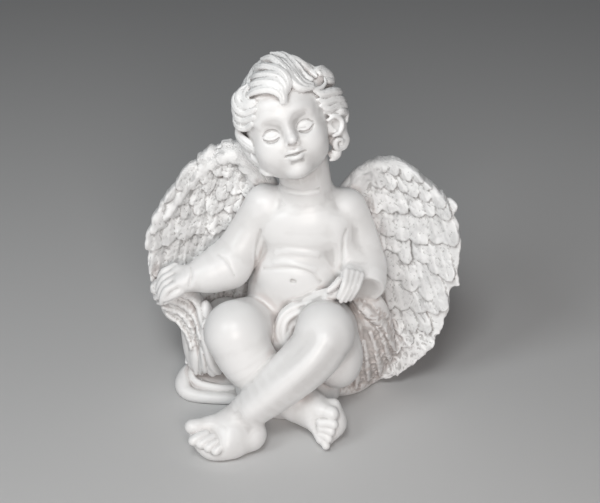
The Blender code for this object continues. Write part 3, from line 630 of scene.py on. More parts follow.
def to_piece(x, z, start, end):
    """Where on a straight piece in front view each point is nearest, as a share of the piece, and how far
    away that is."""
    dx, dz = end[:2] - start[:2]
    share = np.clip(((x - start[0]) * dx + (z - start[1]) * dz) / max(dx * dx + dz * dz, 1e-9), 0, 1)
    return share, np.hypot(x - start[0] - share * dx, z - start[1] - share * dz)


def patch(low, high):
    """The part of the front view between two corners (x, z)."""
    spans = zip((AXES[0], AXES[2]), zip(low, high))
    return tuple(slice(*np.searchsorted(axis, span)) for axis, span in spans)


def outline_distance(corners):
    """Signed distance in front view to a closed outline: to its nearest edge, negative where a ray out
    crosses the outline an odd number of times."""
    path = smooth_path([*corners, corners[0]], 4)
    nearest = np.full(x_map.shape, 1e9, np.float32)
    inside = np.zeros(x_map.shape, bool)
    for start, end in zip(path, path[1:]):
        np.minimum(nearest, to_piece(x_map, z_map, start, end)[1], out=nearest)
        (x0, z0), (x1, z1) = start, end
        if z0 != z1:
            crossing = x0 + (z_map - z0) * (x1 - x0) / (z1 - z0)
            inside ^= (z_map >= min(z0, z1)) & (z_map < max(z0, z1)) & (x_map < crossing)
    return np.where(inside, -nearest, nearest)


def lumps(spacing, random):
    """Random heights this far apart over the front view, joined by straight lines along x, then along z."""
    knots = [np.arange(axis[0], axis[-1] + spacing, spacing) for axis in (AXES[0], AXES[2])]
    heights = random.standard_normal((len(knots[0]), len(knots[1])))
    heights = np.stack([np.interp(AXES[2], knots[1], row) for row in heights])
    return np.stack([np.interp(AXES[0], knots[0], column) for column in heights.T], 1)


def lines(spacing, random, reach):
    """Wandering lines: one where random lumps pass nought, and 1 - |lump| / reach beside that."""
    return np.clip(1 - np.abs(lumps(spacing, random)) / reach, 0, 1)


def feather(face, root, tip, width, rise, tilt):
    """Lays one feather on a wing's face, from its root to its rounded tip in front view. Height grows
    towards the tip and falls to nothing at the ragged edge; a ridge runs down its middle and slanting barbs
    off it. cover keeps how far outside all feathers each point is, and barbs how far down the row of
    barbs, which is along - 1.3 |across|."""
    root, tip = np.array(root, float), np.array(tip, float)
    way = tip - root
    length = np.linalg.norm(way)
    way /= length
    reach = width / 2 + 2
    part = patch(np.minimum(root, tip) - reach, np.maximum(root, tip) + reach)
    x, z = x_map[part] - root[0], z_map[part] - root[1]
    along = x * way[0] + z * way[1]
    across = z * way[0] - x * way[1]
    spine = length - width / 2
    edge = width / 2 - np.hypot(across, along - np.clip(along, 0, spine)) + face["wobble"][part]
    share = np.clip(along / length, 0, 1)
    slant = along - 1.3 * np.abs(across)
    height = 0.3 + rise * share**1.4 + tilt * across / width
    height = height + 0.9 * (1 - (2 * across / width) ** 2)
    height = height + 0.5 * np.exp(-((across / 0.7) ** 2))
    barbs = 1 - np.abs(np.sin(math.pi * slant / 2.2)) ** 0.8
    height = height - 0.4 * barbs * np.clip(np.abs(across) - 0.5, 0, 1)
    height = height * np.clip(edge / 0.5, 0, 1) ** 0.35
    above = (edge > 0) & (height > face["height"][part])
    face["height"][part][above] = height[above]
    face["barbs"][part][above] = slant[above]
    np.minimum(face["cover"][part], -edge, out=face["cover"][part])


def feathered(side, rows, random, rough):
    """A wing's face, with rows of feathers laid from the bottom up, each row being (tip height at the inner
    end, at the outer end, inner x, outer x, how many, length, lean of the inner and of the outer feather in
    degrees). Heights, leans and places vary at random by rough."""
    face = {name: np.zeros(x_map.shape, np.float32) for name in ("height", "barbs")}
    face["cover"] = np.full(x_map.shape, AIR)
    face["wobble"] = 0.3 * lumps(2.6, random) + 0.25 * rough * lumps(1.5, random)
    for tip_in, tip_out, x_in, x_out, count, length, lean_in, lean_out in rows:
        width = 1.2 * abs(x_out - x_in) / count
        for i in range(count):
            share = (i + 0.5) / count
            x = side * (x_in + (x_out - x_in) * share + 1.2 * rough * random.uniform(-1, 1))
            z = tip_in + (tip_out - tip_in) * share**1.5 + 2.6 * rough * random.uniform(-1, 1)
            lean = math.radians(lean_in + (lean_out - lean_in) * share + 7 * rough * random.uniform(-1, 1))
            root = (x - side * math.sin(lean) * length, z + math.cos(lean) * length)
            tilt = 1.6 * side * random.uniform(-0.3, 1.0)
            rise = 3.0 + 0.9 * rough * random.uniform(-1, 1)
            feather(face, root, (x, z), width * random.uniform(0.85, 1.3), rise, tilt)
    return face


def wing(rim, side, rows, edge, seed, rough, crumpled):
    """One wing: the space between its feathered front and back, trimmed to its outline with a round rim.
    Feathers pass the outline by up to 3 mm, which scallops it. The front is crazed where the plaster was
    worked wet: a thin crease wherever slow random lumps pass nought. Below the height crumpled it turns
    into sharp little folds like the cloth's. Gives both faces."""
    random = np.random.default_rng(seed)
    front = feathered(side, rows, random, rough)
    back = feathered(side, rows, random, 0.4 * rough)
    outline = outline_distance(rim)
    outline = np.minimum(outline, np.maximum(front["cover"], outline - 3))
    skin = rough * (0.18 * lumps(3.2, random) + 0.12 * lumps(1.4, random))
    crazing = lines(2.8, random, 0.2)
    ruffle = lines(3.6, random, 0.6) + 0.5 * lines(2, random, 0.4)
    ruffle = 1.5 * ruffle * np.clip((crumpled - z_map) / 9, 0, 1)
    outline = outline + 2.0 * skin + 0.5 * lumps(5, random)
    middle = wing_middle(x_map, z_map)
    ahead_map = middle - WING_HALF - front["height"] - skin + 0.55 * rough * crazing - ruffle
    behind_map = middle + WING_HALF + back["height"] + 0.2 * skin
    slope = np.hypot(*np.gradient(middle, GRAIN)) ** 2
    stretch = (1 / np.sqrt(1 + slope)).astype(np.float32)
    low = np.array(rim, float).min(0) - 8
    high = np.array(rim, float).max(0) + 8
    cut, (_, y, _) = window((low[0], -12, low[1]), (high[0], 50, high[1]))
    plan = (cut[0], cut[2])
    distance = np.maximum(ahead_map[plan][:, None, :] - y, y - behind_map[plan][:, None, :])
    distance = distance * stretch[plan][:, None, :]
    beyond = outline[plan][:, None, :] + RIM_ROUND
    distance = distance + RIM_ROUND
    outside = np.hypot(np.maximum(distance, 0), np.maximum(beyond, 0))
    distance = np.minimum(np.maximum(distance, beyond), 0) - RIM_ROUND + outside
    join(wings, cut, distance, 1.0)
    tube(wings, edge, 3)
    return front, back


wings = new_block()
# The outlines (x, z) run from the shoulder up over the top, down the outside and back under the seat.
LEFT_RIM = [
    (24, 108), (30, 119), (36, 128), (43, 135.5), (52, 140.8), (61, 142.2), (70, 138.7), (79, 132.7),
    (86, 128), (89.5, 131), (94.8, 128.5), (94, 121.5), (97.2, 108), (97.5, 92), (97.4, 84), (98.8, 77.5),
    (94, 73), (92.8, 60), (89.5, 45), (84, 31.5), (75.5, 20), (68.5, 12), (58, 6), (46, 3), (30, 8), (18, 60),
]
RIGHT_RIM = [
    (-10, 108), (-15, 125), (-20.5, 141), (-28.5, 151), (-38, 152.5), (-47, 149.5), (-55.5, 143.6),
    (-66, 133.7), (-75.8, 122), (-81.8, 110.5), (-85.7, 98), (-87.2, 82), (-86.5, 70), (-79, 52),
    (-69, 33), (-66, 14), (-48, 6), (-28, 12), (-12, 60),
]
LEFT_ROWS = [
    (16, 30, 44, 76, 4, 26, 20, 45),
    (30, 44, 44, 86, 5, 26, 14, 40),
    (47, 56, 44, 91, 5, 26, 8, 32),
    (66, 58, 48, 94, 5, 26, 4, 22),
    (83, 80, 48, 96, 6, 26, 2, 16),
    (91, 105, 42, 97, 6, 26, 0, 20),
    (109, 122, 38, 93, 7, 22, 4, 34),
    (126, 128, 48, 90, 6, 16, 20, 50),
    (138, 133, 50, 84, 5, 12, 30, 60),
]
RIGHT_ROWS = [
    (20, 30, 30, 66, 5, 34, -4, 20),
    (42, 48, 30, 76, 6, 34, 0, 20),
    (60, 60, 26, 84, 7, 30, 2, 18),
    (76, 78, 30, 86, 7, 26, 4, 14),
    (92, 98, 26, 88, 7, 22, 4, 18),
    (107, 110, 20, 85, 8, 18, 8, 26),
    (120, 121, 18, 79, 8, 15, 10, 36),
    (132, 130, 20, 72, 7, 13, 14, 42),
    (142, 141, 26, 60, 5, 9, 20, 46),
]
LEFT_EDGE = [
    (24, 30, 107, 8.5), (33, 33, 120, 7.5), (41, 33, 131, 6.2), (51, 32, 137, 4.4), (63, 28, 138.5, 2.8),
    (75, 21, 132, 2), (85, 12, 122, 1.4),
]
RIGHT_EDGE = [
    (-11, 30, 108, 9), (-19, 33, 128, 8), (-28, 33, 143, 6.6), (-39, 32, 146, 4.6), (-52, 28, 140, 3),
    (-65, 21, 128, 2), (-75, 13, 114, 1.5),
]
FACES = {
    1: wing(LEFT_RIM, 1, LEFT_ROWS, LEFT_EDGE, 3, 0.9, 48),
    -1: wing(RIGHT_RIM, -1, RIGHT_ROWS, RIGHT_EDGE, 5, 1.3, 0),
}


# ---------------------------------------------------------------- drapery and seat
# The child sits on a cloth whose rolled hems make the base. It rises in folds beside both legs to the
# wings, and a strip of it lies across the lap. Its folds and rough weave are strokes raised on its mass.

cloth = new_block()
CLOTH_MASSES = [
    ((2, 20, 8), (50, 31, 14)),
    ((-48, 2, 3), (22, 16, 7)),
    ((38, 14, 5), (20, 15, 9)),
    ((-4, -14, 12), (32, 24, 18)),
    ((-42, 16, 26), (20, 14, 30)),
    ((40, 16, 30), (20, 13, 32)),
    ((-8, -12, 34), (14, 12, 22)),
    ((-74, 3, 71), (12, 6.5, 8.5)),
    ((-70, 5, 60), (11, 6.5, 14)),
    ((-62, 5, 42), (7.5, 8, 24)),
    ((-60, 4, 24), (6.5, 8, 14)),
    ((-53, -3, 50), (5, 9, 16)),
    ((-50, -6, 32), (6, 9, 18)),
    ((44, 1, 56), (12, 9, 14)),
    ((50, 4, 36), (11, 9, 24)),
    ((42, 1, 26), (10, 9, 20)),
    ((32, 3, 12), (13, 9, 10)),
]
for centre, radii in CLOTH_MASSES:
    ball(cloth, centre, radii, 5)

HEMS = [
    [(-61, 12, 10, 4), (-67.5, 5, 7.5, 4.6), (-69, -5, 6, 5), (-64, -12, 4.2, 4.2), (-50, -15, 3.6, 3.6),
     (-30, -16, 4, 4)],
    [(-60, 10, 12.5, 2.4), (-63.5, 3, 10.5, 2.4), (-60.5, -5, 8.5, 2.4), (-49, -10, 8, 2.4),
     (-34, -12.5, 8.5, 2.4)],
    [(14, -10, 4, 4), (24, -7.5, 4, 4), (33, -6, 4, 4), (41, -1.5, 4, 4), (49, 7, 5, 4), (57, 12, 8, 4)],
    [(18, -9, 10, 3), (28, -7.5, 12, 2.6), (36, -5.5, 13, 2.4), (43, 0, 12, 2.6)],
]
for stations in HEMS:
    tube(cloth, stations, 1.4)

# The strip across the lap leaves the hand on the left thigh and sinks between the legs. It is a smooth
# sheet with a thin raised hem and a few soft folds beside it.
LAP = [
    [(29, -13, 79.5, 3), (20, -12, 76, 4.2), (10, -10.5, 70, 5.2), (2, -11, 63.5, 6), (-4, -13.5, 56, 6),
     (-5, -18, 48, 6)],
    [(0, -12.5, 67, 4), (-5, -14, 62.5, 4.4), (-7.5, -17, 55, 4.4), (-8, -20, 49, 4)],
    [(16, -10, 70, 4), (8, -12, 61, 4), (3, -15, 52, 5), (-1, -20, 44, 5)],
    [(31, -16, 82, 2.6), (25, -17, 80, 2.6), (20, -16, 77, 2.4)],
]
for stations in LAP:
    tube(cloth, stations, 3)
LAP_FOLDS = [
    ([(18, -15, 76.5, 0.5), (12, -14, 73.2, 0.9), (-0.2, -12, 68.7, 0.8),
      (-6, -14, 65.1, 0.8), (-9.4, -16, 59, 0.9), (-9.4, -19, 52.7, 0.9), (-6.5, -22, 48, 0.6)], 1.4, 0.0),
    ([(11, -14.5, 69.5, 0.5), (5, -14, 66.8, 1.1), (-3, -14, 62.6, 1.1),
      (-6, -16, 57.5, 1.1), (-6, -19, 51.7, 1.0), (-3, -22, 47.4, 0.6)], 2.0, 0.0),
    ([(9, -14, 65.5, 0.5), (4, -14, 62.5, 0.9), (-0.5, -15, 58, 1.0), (-4, -18, 52, 0.8)], 2.0, 0.2),
    ([(20, -9, 79.5, 0.3), (13, -9, 76.8, 0.6), (5, -9, 73.5, 0.6), (-1, -9, 71.5, 0.3)], 1.2, 0.1),
]
for stations, blend, sunk in LAP_FOLDS:
    crease(cloth, stations, INTO_FRONT, blend, -sunk, join)


def stroke(relief, stations, height):
    """Raises a ridge on a relief along stations (x, z, half width) in front view: height times
    (1 - share^2)^0.75, share being the distance over the half width. A negative height sinks a groove."""
    path = smooth_path(stations, 4)
    reach = path[:, 2].max() + 1
    part = patch(path[:, :2].min(0) - reach, path[:, :2].max(0) + reach)
    x, z = x_map[part], z_map[part]
    share = np.full(x.shape, 9.0)
    for start, end in zip(path, path[1:]):
        t, away = to_piece(x, z, start, end)
        np.minimum(share, away / (start[2] + t * (end[2] - start[2])), out=share)
    relief[part] += height * np.clip(1 - share**2, 0, 1) ** 0.75


folds = np.zeros(x_map.shape, np.float32)
SHARP_FOLDS = [
    [(-83, 67, 2.0), (-75, 74, 2.6), (-66, 71, 2.6), (-58, 63, 2.2), (-55, 55, 1.6)],
    [(-82, 62, 1.6), (-74, 66, 2.0), (-66, 62, 2.0), (-60, 55, 1.8), (-57, 46, 1.4)],
    [(-79, 60, 1.4), (-71, 58, 1.8), (-65, 53, 1.8), (-61, 45, 1.6)],
    [(-77, 55, 1.3), (-70, 49, 1.6), (-65, 41, 1.6), (-63, 34, 1.4)],
    [(-62, 36, 2.4), (-61, 28, 3.4), (-60, 20, 3.8), (-60, 14, 2.6)],
    [(-56, 36, 1.6), (-56, 27, 2.4), (-56, 19, 2.6), (-57, 13, 1.8)],
    [(-53, 57, 1.6), (-55, 48, 2.2), (-53, 38, 2.4), (-49, 26, 2.4), (-43, 15, 2.4)],
    [(37, 67, 2.4), (43, 62, 2.8), (49, 56, 2.8), (54, 50, 2.4), (57, 42, 1.8)],
    [(36, 57, 2.0), (38, 48, 3.6), (39, 40, 3.2), (39, 33, 1.6)],
    [(46, 46, 1.6), (49, 37, 1.8), (51, 27, 1.8), (53, 16, 2.0), (54, 8, 1.6)],
    [(50, 50, 1.4), (54, 40, 1.6), (57, 29, 1.6), (60, 19, 1.6), (61, 11, 1.4)],
    [(42, 40, 1.6), (44, 30, 1.8), (45, 20, 1.8), (46, 10, 1.6)],
    [(56, 44, 1.2), (60, 34, 1.4), (63, 25, 1.4), (66, 18, 1.2)],
    [(36, 30, 1.4), (38, 20, 1.8), (39, 12, 1.8), (38, 7, 1.4)],
]
for stations in SHARP_FOLDS:
    stroke(folds, stations, 2.0)
GROOVES = [[(-70, 70, 0.8), (-64, 66, 0.8), (-59, 59, 0.8)], [(43, 57, 0.8), (47, 52, 0.9), (51, 46, 0.8)]]
for stations in GROOVES:
    stroke(folds, stations, -1.2)

# The weave is rough where the cloth hangs beside the legs and spreads at the edge of the seat.
weave = np.random.default_rng(11)
tight = 0.75 * lines(2.4, weave, 0.5) + 0.3 * lumps(1.7, weave) + 0.22 * lumps(0.9, weave)
rough_cloth = np.zeros(x_map.shape, np.float32)
ROUGH_PARTS = [
    [(-84, 70, 9), (-72, 66, 12), (-64, 52, 9), (-62, 40, 7)],
    [(38, 66, 4), (47, 59, 6), (54, 48, 8), (56, 30, 11), (56, 14, 9)],
    [(44, 30, 6), (45, 14, 7)],
    [(24, 6, 4), (40, 8, 5), (52, 8, 5)],
    [(30, 72, 2.5), (38, 66, 4), (47, 58, 5)],
]
for stations in ROUGH_PARTS:
    stroke(rough_cloth, stations, 1.0)
cloth -= (folds + tight * np.clip(rough_cloth, 0, 1))[:, None, :]


# ---------------------------------------------------------------- casting
# The worked forms are fused into one block, cut flat where it stands, and skinned as a single casting.
# Smooth skin keeps few faces; feathers, curls and folds keep many.

MM = 0.001
TRIANGLES = 194000
MIDDLE = np.array((5.02, -11.81, 0.0))  # where the middle of the solid's box is in the block
everything = tuple(slice(None) for _ in AXES)
cherub = flesh.copy()
join(cherub, everything, head, 2.5)
join(cherub, everything, cloth, 1.2)
join(cherub, everything, wings, 1.2)
np.maximum(cherub, 0.02 - AXES[2], out=cherub)


def surface_net(block):
    """Points and faces of the level nought: one point in every cell that the level crosses, at the mean of
    the crossings on the cell's edges, and one face round every grid edge that it crosses."""
    inside = block < 0
    shape = np.array(block.shape) - 1
    count = np.zeros(shape, np.uint8)
    corners = list(np.ndindex(2, 2, 2))
    for i, j, k in corners:
        count += inside[i : i + shape[0], j : j + shape[1], k : k + shape[2]]
    cells = np.argwhere((count > 0) & (count < 8))
    number = np.full(shape, -1, np.int32)
    number[tuple(cells.T)] = np.arange(len(cells))
    values = np.stack([block[tuple((cells + corner).T)] for corner in corners], 1)
    total = np.zeros((len(cells), 3))
    crossed = np.zeros((len(cells), 1))
    for a, corner in enumerate(corners):
        for axis in range(3):
            if corner[axis]:
                continue
            b = a + (4, 2, 1)[axis]
            crossing = (values[:, a] < 0) != (values[:, b] < 0)
            spot = np.tile(np.array(corner, float), (len(cells), 1))
            spot[:, axis] = values[:, a] / np.where(crossing, values[:, a] - values[:, b], 1)
            total += spot * crossing[:, None]
            crossed += crossing[:, None]
    faces = []
    for axis in range(3):
        next_axis, last_axis = (axis + 1) % 3, (axis + 2) % 3
        ahead = np.roll(np.eye(3, dtype=int)[0], axis)
        low = inside[tuple(slice(0, shape[i] + 1 - ahead[i]) for i in range(3))]
        high = inside[tuple(slice(ahead[i], shape[i] + 1) for i in range(3))]
        edges = np.argwhere(low != high)
        leaving = low[tuple(edges.T)]
        ring = []
        for back in ((1, 1), (0, 1), (0, 0), (1, 0)):
            spot = edges.copy()
            spot[:, next_axis] -= back[0]
            spot[:, last_axis] -= back[1]
            ring.append(number[tuple(spot.T)])
        ring = np.stack(ring, 1)
        faces.append(np.where(leaving[:, None], ring, ring[:, ::-1]))
    return (cells + total / crossed) * GRAIN + np.array(BLOCK_LOW), np.concatenate(faces)


def mesh_of(name, points, faces):
    """A mesh from rows of points and of four corners."""
    mesh = bpy.data.meshes.new(name)
    mesh.vertices.add(len(points))
    mesh.vertices.foreach_set("co", points.ravel().astype(np.float32))
    mesh.loops.add(faces.size)
    mesh.loops.foreach_set("vertex_index", faces.ravel().astype(np.int32))
    mesh.polygons.add(len(faces))
    mesh.polygons.foreach_set("loop_start", np.arange(0, faces.size, 4, dtype=np.int32))
    mesh.update(calc_edges=True)
    return mesh


def belongs(block):
    """One where the surface is this block's own, fading to nought 1.5 mm into another form."""
    return np.clip(1 - sample(block, points) / 1.5, 0, 1)


def read_points(mesh):
    """The places and the normals of a mesh's points, as rows."""
    read = []
    for name in ("co", "normal"):
        values = np.empty(3 * len(mesh.vertices), np.float32)
        mesh.vertices.foreach_get(name, values)
        read.append(values.reshape(-1, 3).astype(float))
    return read


points, faces = surface_net(cherub)
figure = bpy.data.objects.new("cherub_casting", mesh_of("cherub_casting", points, faces))
bpy.context.scene.collection.objects.link(figure)

# Faces are spent where the relief is fine and is seen: the more freely a point may go, the higher its weight.
points, normals = read_points(figure.data)
detail = np.maximum.reduce([belongs(wings), belongs(head), 0.8 * belongs(cloth)])
detail = np.where(normals[:, 1] > 0.3, 0.2 * detail, detail)
freedom = np.where(points[:, 2] < 0.6, 1.0, 1 - 0.8 * detail)
spare = figure.vertex_groups.new(name="spare")
for low in (0.2, 0.4, 0.6, 0.8):  # freedom is given in steps, as each whole group takes one weight
    chosen = np.flatnonzero((freedom >= low - 0.001) & (freedom < low + 0.2))
    spare.add(chosen.tolist(), low + 0.1, "REPLACE")
spare.add(np.flatnonzero(freedom >= 0.999).tolist(), 1.0, "REPLACE")
thin = figure.modifiers.new("thin", "DECIMATE")
thin.vertex_group = "spare"
thin.vertex_group_factor = 0.01
thin.ratio = min(1.0, TRIANGLES / (2 * len(faces)))
bpy.context.view_layer.update()
figure.data = bpy.data.meshes.new_from_object(figure.evaluated_get(bpy.context.evaluated_depsgraph_get()))
figure.modifiers.clear()
figure.vertex_groups.clear()
mesh = figure.data
mesh.name = "cherub_casting"
mesh.polygons.foreach_set("use_smooth", np.ones(len(mesh.polygons), bool))

points, normals = read_points(mesh)


def keep_on_points(name, values):
    """Stores one number for each point, which the finish reads by name."""
    layer = mesh.attributes.new(name, "FLOAT", "POINT")
    layer.data.foreach_set("value", np.asarray(values, np.float32))


def openness(reach):
    """How open the surface is: the distance found `reach` out from it, over reach."""
    return np.clip(sample(cherub, points + normals * reach) / reach, 0, 1)


def sunkenness(rounds):
    """How far each point lies below the surface once that is relaxed: in each round a point moves halfway
    to the mean of its neighbours."""
    ends = np.empty(2 * len(mesh.edges), np.int32)
    mesh.edges.foreach_get("vertices", ends)
    first, second = ends.reshape(-1, 2).T
    count = len(points)
    degree = np.bincount(first, minlength=count) + np.bincount(second, minlength=count)
    relaxed = points.copy()
    for _ in range(rounds):
        near = [
            np.bincount(first, places[second], count) + np.bincount(second, places[first], count)
            for places in relaxed.T
        ]
        relaxed = (relaxed + np.stack(near, 1) / degree[:, None]) / 2
    return ((relaxed - points) * normals).sum(1)


def along_barbs():
    """How far down its feather's row of barbs each point is, on the face of the wing it lies on."""
    place = np.round((points - np.array(BLOCK_LOW)) / GRAIN).astype(int)
    place = np.clip(place, 0, np.array(cherub.shape) - 1)
    value = np.zeros(len(points))
    for side, faces_of_wing in FACES.items():
        for facing, face in zip((-1, 1), faces_of_wing):
            here = (points[:, 0] * side > 0) & (normals[:, 1] * facing > 0)
            value = np.where(here, face["barbs"][place[:, 0], place[:, 2]], value)
    return value


keep_on_points("crevice", 1 - openness(1.2))
keep_on_points("sunken", sunkenness(6))
keep_on_points("barbs", along_barbs())
keep_on_points("hollow", 1 - openness(6.0))
keep_on_points("wing", belongs(wings))
keep_on_points("head", belongs(head))
keep_on_points("hair", belongs(head) * np.clip(2 * sample(bare_head, points), 0, 1))
keep_on_points("cloth", belongs(cloth))
points[:, 2] = np.maximum(points[:, 2], 0)
points[points[:, 2] < 0.1, 2] = 0
mesh.vertices.foreach_set("co", ((points - MIDDLE) * MM).ravel().astype(np.float32))
mesh.update()
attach(figure, "root")
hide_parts("cherub")


# ---------------------------------------------------------------- finish
# White satin paint over plaster: smooth and faintly pearly on the skin, drier on the wings, where grime and
# painted shade grey the crevices and bubbles in the plaster have left pinholes. Painted shade also darkens
# the hollows, the grooves and the low cloth, and painted highlight whitens the ridges, the hair and the
# wings.

paint = bpy.data.materials.new("white_painted_plaster")
paint.use_nodes = True
nodes, links = paint.node_tree.nodes, paint.node_tree.links
shader = nodes["Principled BSDF"]
shader.inputs["Metallic"].default_value = 0.0
shader.inputs["Specular IOR Level"].default_value = 0.45
shader.inputs["Subsurface Weight"].default_value = 0.0


def node(kind, inputs=(), **settings):
    """A node with its settings, and its inputs linked from sockets or set to values."""
    made = nodes.new(kind)
    for name, value in settings.items():
        setattr(made, name, value)
    for name, value in dict(inputs).items():
        if isinstance(value, bpy.types.NodeSocket):
            links.new(value, made.inputs[name])
        else:
            made.inputs[name].default_value = value
    return made


def maths(operation, *values, clamp=False):
    """One step of arithmetic on sockets or numbers."""
    return node("ShaderNodeMath", dict(enumerate(values)), operation=operation, use_clamp=clamp).outputs[0]


def product(first, second, clamp=False):
    """The two multiplied, and with clamp held between nought and one."""
    return maths("MULTIPLY", first, second, clamp=clamp)


def ramp(value, low, high, out_low=0.0, out_high=1.0):
    """The value taken from one range to another along 3 t^2 - 2 t^3, and held beyond its ends."""
    inputs = {"Value": value, "From Min": low, "From Max": high, "To Min": out_low, "To Max": out_high}
    return node("ShaderNodeMapRange", inputs, interpolation_type="SMOOTHSTEP").outputs["Result"]


def mix(share, first, second):
    """The first colour, and by the share the second."""
    made = nodes.new("ShaderNodeMix")
    made.data_type = "RGBA"
    for index, value in ((0, share), (6, first), (7, second)):
        if isinstance(value, bpy.types.NodeSocket):
            links.new(value, made.inputs[index])
        else:
            made.inputs[index].default_value = value
    return made.outputs[2]


def stored(name):
    """A number that the casting's points carry."""
    return node("ShaderNodeAttribute", attribute_name=name).outputs["Fac"]


place = node("ShaderNodeTexCoord").outputs["Object"]
on_wing = stored("wing")
on_cloth = stored("cloth")
on_head = stored("head")
on_hair = stored("hair")
crevice = stored("crevice")
hollow = stored("hollow")
sunken = stored("sunken")
barbs = stored("barbs")


def noise(scale, detail=3.0, roughness=0.55):
    """Cloudy noise fixed to the casting: its lumps are about one over scale metres wide."""
    inputs = {"Vector": place, "Scale": scale, "Detail": detail, "Roughness": roughness}
    return node("ShaderNodeTexNoise", inputs).outputs["Fac"]


patchy = noise(220.0)
fine = noise(1400.0)
rough_share = maths("MAXIMUM", on_wing, product(on_cloth, 0.5))
dark_share = maths("MAXIMUM", rough_share, product(on_head, 0.6))
groove = ramp(sunken, 0.04, 0.30)
ridge = ramp(sunken, -0.03, -0.25)

# The finest combing of the feathers follows their barbs, and comes and goes over each wing.
comb = maths("SINE", product(maths("ADD", barbs, product(noise(400.0), 0.5)), 5.2))
comb = product(product(comb, on_wing), ramp(noise(120.0), 0.35, 0.6))

# Grime and painted shade fill the crevices and, more thinly, the grooves.
grime_and_shade = maths("MAXIMUM", product(groove, 0.35), ramp(crevice, 0.36, 0.85))
grime_and_shade = product(grime_and_shade, ramp(patchy, 0.35, 0.60, 0.35, 1.0))

# Pinholes come in patches, where the casting is rough.
pit_inputs = {"Vector": place, "Scale": 420.0, "Randomness": 1.0}
pits = node("ShaderNodeTexVoronoi", pit_inputs).outputs["Distance"]
pinholes = product(ramp(pits, 0.10, 0.06), ramp(noise(75.0), 0.66, 0.74))
pinholes = product(pinholes, rough_share, clamp=True)

# Painted shade, warmed by a painted reflection, darkens the cloth low down below the left wing.
across, _, height = node("ShaderNodeSeparateXYZ", {"Vector": place}).outputs
warm_cloth_shade = product(ramp(across, 0.018, 0.034), ramp(height, 0.088, 0.074))
warm_cloth_shade = product(warm_cloth_shade, product(on_cloth, ramp(patchy, 0.3, 0.7, 0.6, 1.0)))

SATIN_WHITE = (0.84, 0.835, 0.83, 1)
HIGHLIGHT_WHITE = (0.95, 0.955, 0.955, 1)
SHADE_IN_HOLLOWS_BEIGE = (0.66, 0.615, 0.60, 1)
WARM_SHADE_BROWN = (0.56, 0.50, 0.475, 1)
GROOVE_SHADE_GREY = (0.42, 0.405, 0.395, 1)
GRIME_AND_SHADE_DARK = (0.16, 0.15, 0.145, 1)
PINHOLE = (0.12, 0.115, 0.11, 1)
RIDGE_HIGHLIGHT_WHITE = (0.95, 0.95, 0.95, 1)
# Painted highlight: the hair and wings get a brighter white than the skin, for the light falling on them.
colour = mix(maths("MAXIMUM", on_wing, on_hair), SATIN_WHITE, HIGHLIGHT_WHITE)
# Painted shade: the deeper hollows are darkened towards beige.
colour = mix(ramp(hollow, 0.45, 1.0, 0.0, 0.7), colour, SHADE_IN_HOLLOWS_BEIGE)
# Painted shade with a warm painted reflection on the lower cloth below the left wing.
colour = mix(product(warm_cloth_shade, 0.9), colour, WARM_SHADE_BROWN)
# Painted shade: the grooves are greyed.
colour = mix(product(groove, 0.4), colour, GROOVE_SHADE_GREY)
# Grime and painted shade darken the crevices of the wings, the cloth and the head.
colour = mix(product(grime_and_shade, product(dark_share, 0.75)), colour, GRIME_AND_SHADE_DARK)
colour = mix(product(pinholes, 0.85), colour, PINHOLE)
# Painted highlight: the ridges are whitened where light catches their edges.
colour = mix(product(ridge, 0.6), colour, RIDGE_HIGHLIGHT_WHITE)
links.new(colour, shader.inputs["Base Color"])
gloss = ramp(patchy, 0.3, 0.7, 0.30, 0.40)
links.new(maths("ADD", gloss, product(rough_share, 0.08)), shader.inputs["Roughness"])
grain_height = product(fine, maths("ADD", product(rough_share, 0.5), 0.03))
relief = maths("ADD", maths("ADD", grain_height, product(comb, 0.5)), product(pinholes, -1.0))
bump = node("ShaderNodeBump", {"Height": relief, "Strength": 0.7, "Distance": 0.0005})
links.new(bump.outputs["Normal"], shader.inputs["Normal"])
mesh.materials.clear()
mesh.materials.append(paint)


# ---------------------------------------------------------------- floor, light and camera
# A pale floor and three soft lights: the key above and in front, a cool fill from the left and a warm one
# low in front. The camera looks down at the figure from in front.

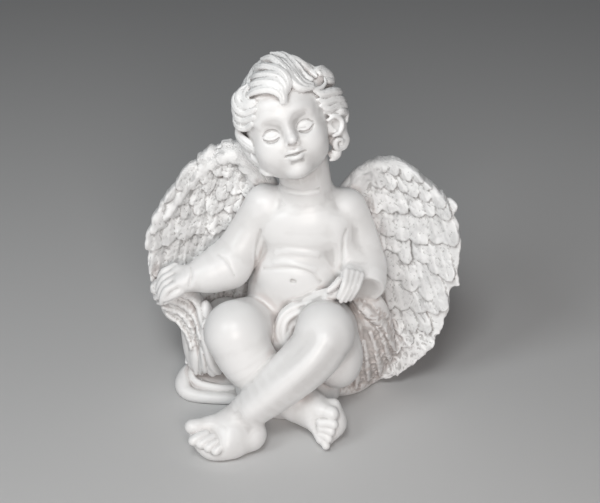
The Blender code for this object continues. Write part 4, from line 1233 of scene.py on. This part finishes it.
FLOOR_HALF = 4
floor_corners = [(x * FLOOR_HALF, y * FLOOR_HALF, 0) for x, y in ((-1, -1), (1, -1), (1, 1), (-1, 1))]
floor_mesh = bpy.data.meshes.new("floor")
floor_mesh.from_pydata(floor_corners, [], [(0, 1, 2, 3)])
floor = bpy.data.objects.new("floor", floor_mesh)
bpy.context.scene.collection.objects.link(floor)
floor_paint = bpy.data.materials.new("pale_floor")
floor_paint.use_nodes = True
floor_shader = floor_paint.node_tree.nodes["Principled BSDF"]
floor_shader.inputs["Base Color"].default_value = (0.62, 0.62, 0.62, 1)
floor_shader.inputs["Roughness"].default_value = 0.8
floor_mesh.materials.append(floor_paint)

target = Vector((-0.0015, 0.0119, 0.0986))  # about the middle of the figure


def aim(thing, spot):
    """Puts a light or a camera at a spot and turns it to face the target."""
    thing.location = spot
    thing.rotation_mode = "QUATERNION"
    thing.rotation_quaternion = (target - Vector(spot)).to_track_quat("-Z", "Y")
    bpy.context.scene.collection.objects.link(thing)


for name, spot, size, power, tint in (
    ("key", (-0.1, -0.65, 0.95), 0.3, 3.8, (0.98, 1.0, 1.0)),
    ("left_fill", (-0.7, -0.6, 0.9), 0.4, 3.3, (0.95, 0.99, 1.0)),
    ("low_front", (0.05, -0.95, 0.5), 0.4, 4.2, (1.0, 0.93, 0.89)),
):
    light = bpy.data.lights.new(name, "AREA")
    light.size = size
    light.energy = power
    light.color = tint
    aim(bpy.data.objects.new(name, light), spot)

world = bpy.data.worlds.new("studio")
world.use_nodes = True
background = world.node_tree.nodes["Background"]
background.inputs["Color"].default_value = (0.9, 0.93, 1.0, 1)
background.inputs["Strength"].default_value = 0.05
bpy.context.scene.world = world
bpy.context.scene.view_settings.view_transform = "Standard"

lens = bpy.data.cameras.new("camera")
lens.lens = 76.7
lens.sensor_width = 36.0
lens.clip_start, lens.clip_end = 0.05, 20.0
camera = bpy.data.objects.new("camera", lens)
elevation = math.radians(30)
distance_away = 0.75
aim(camera, target + distance_away * Vector((0, -math.cos(elevation), math.sin(elevation))))
bpy.context.scene.camera = camera
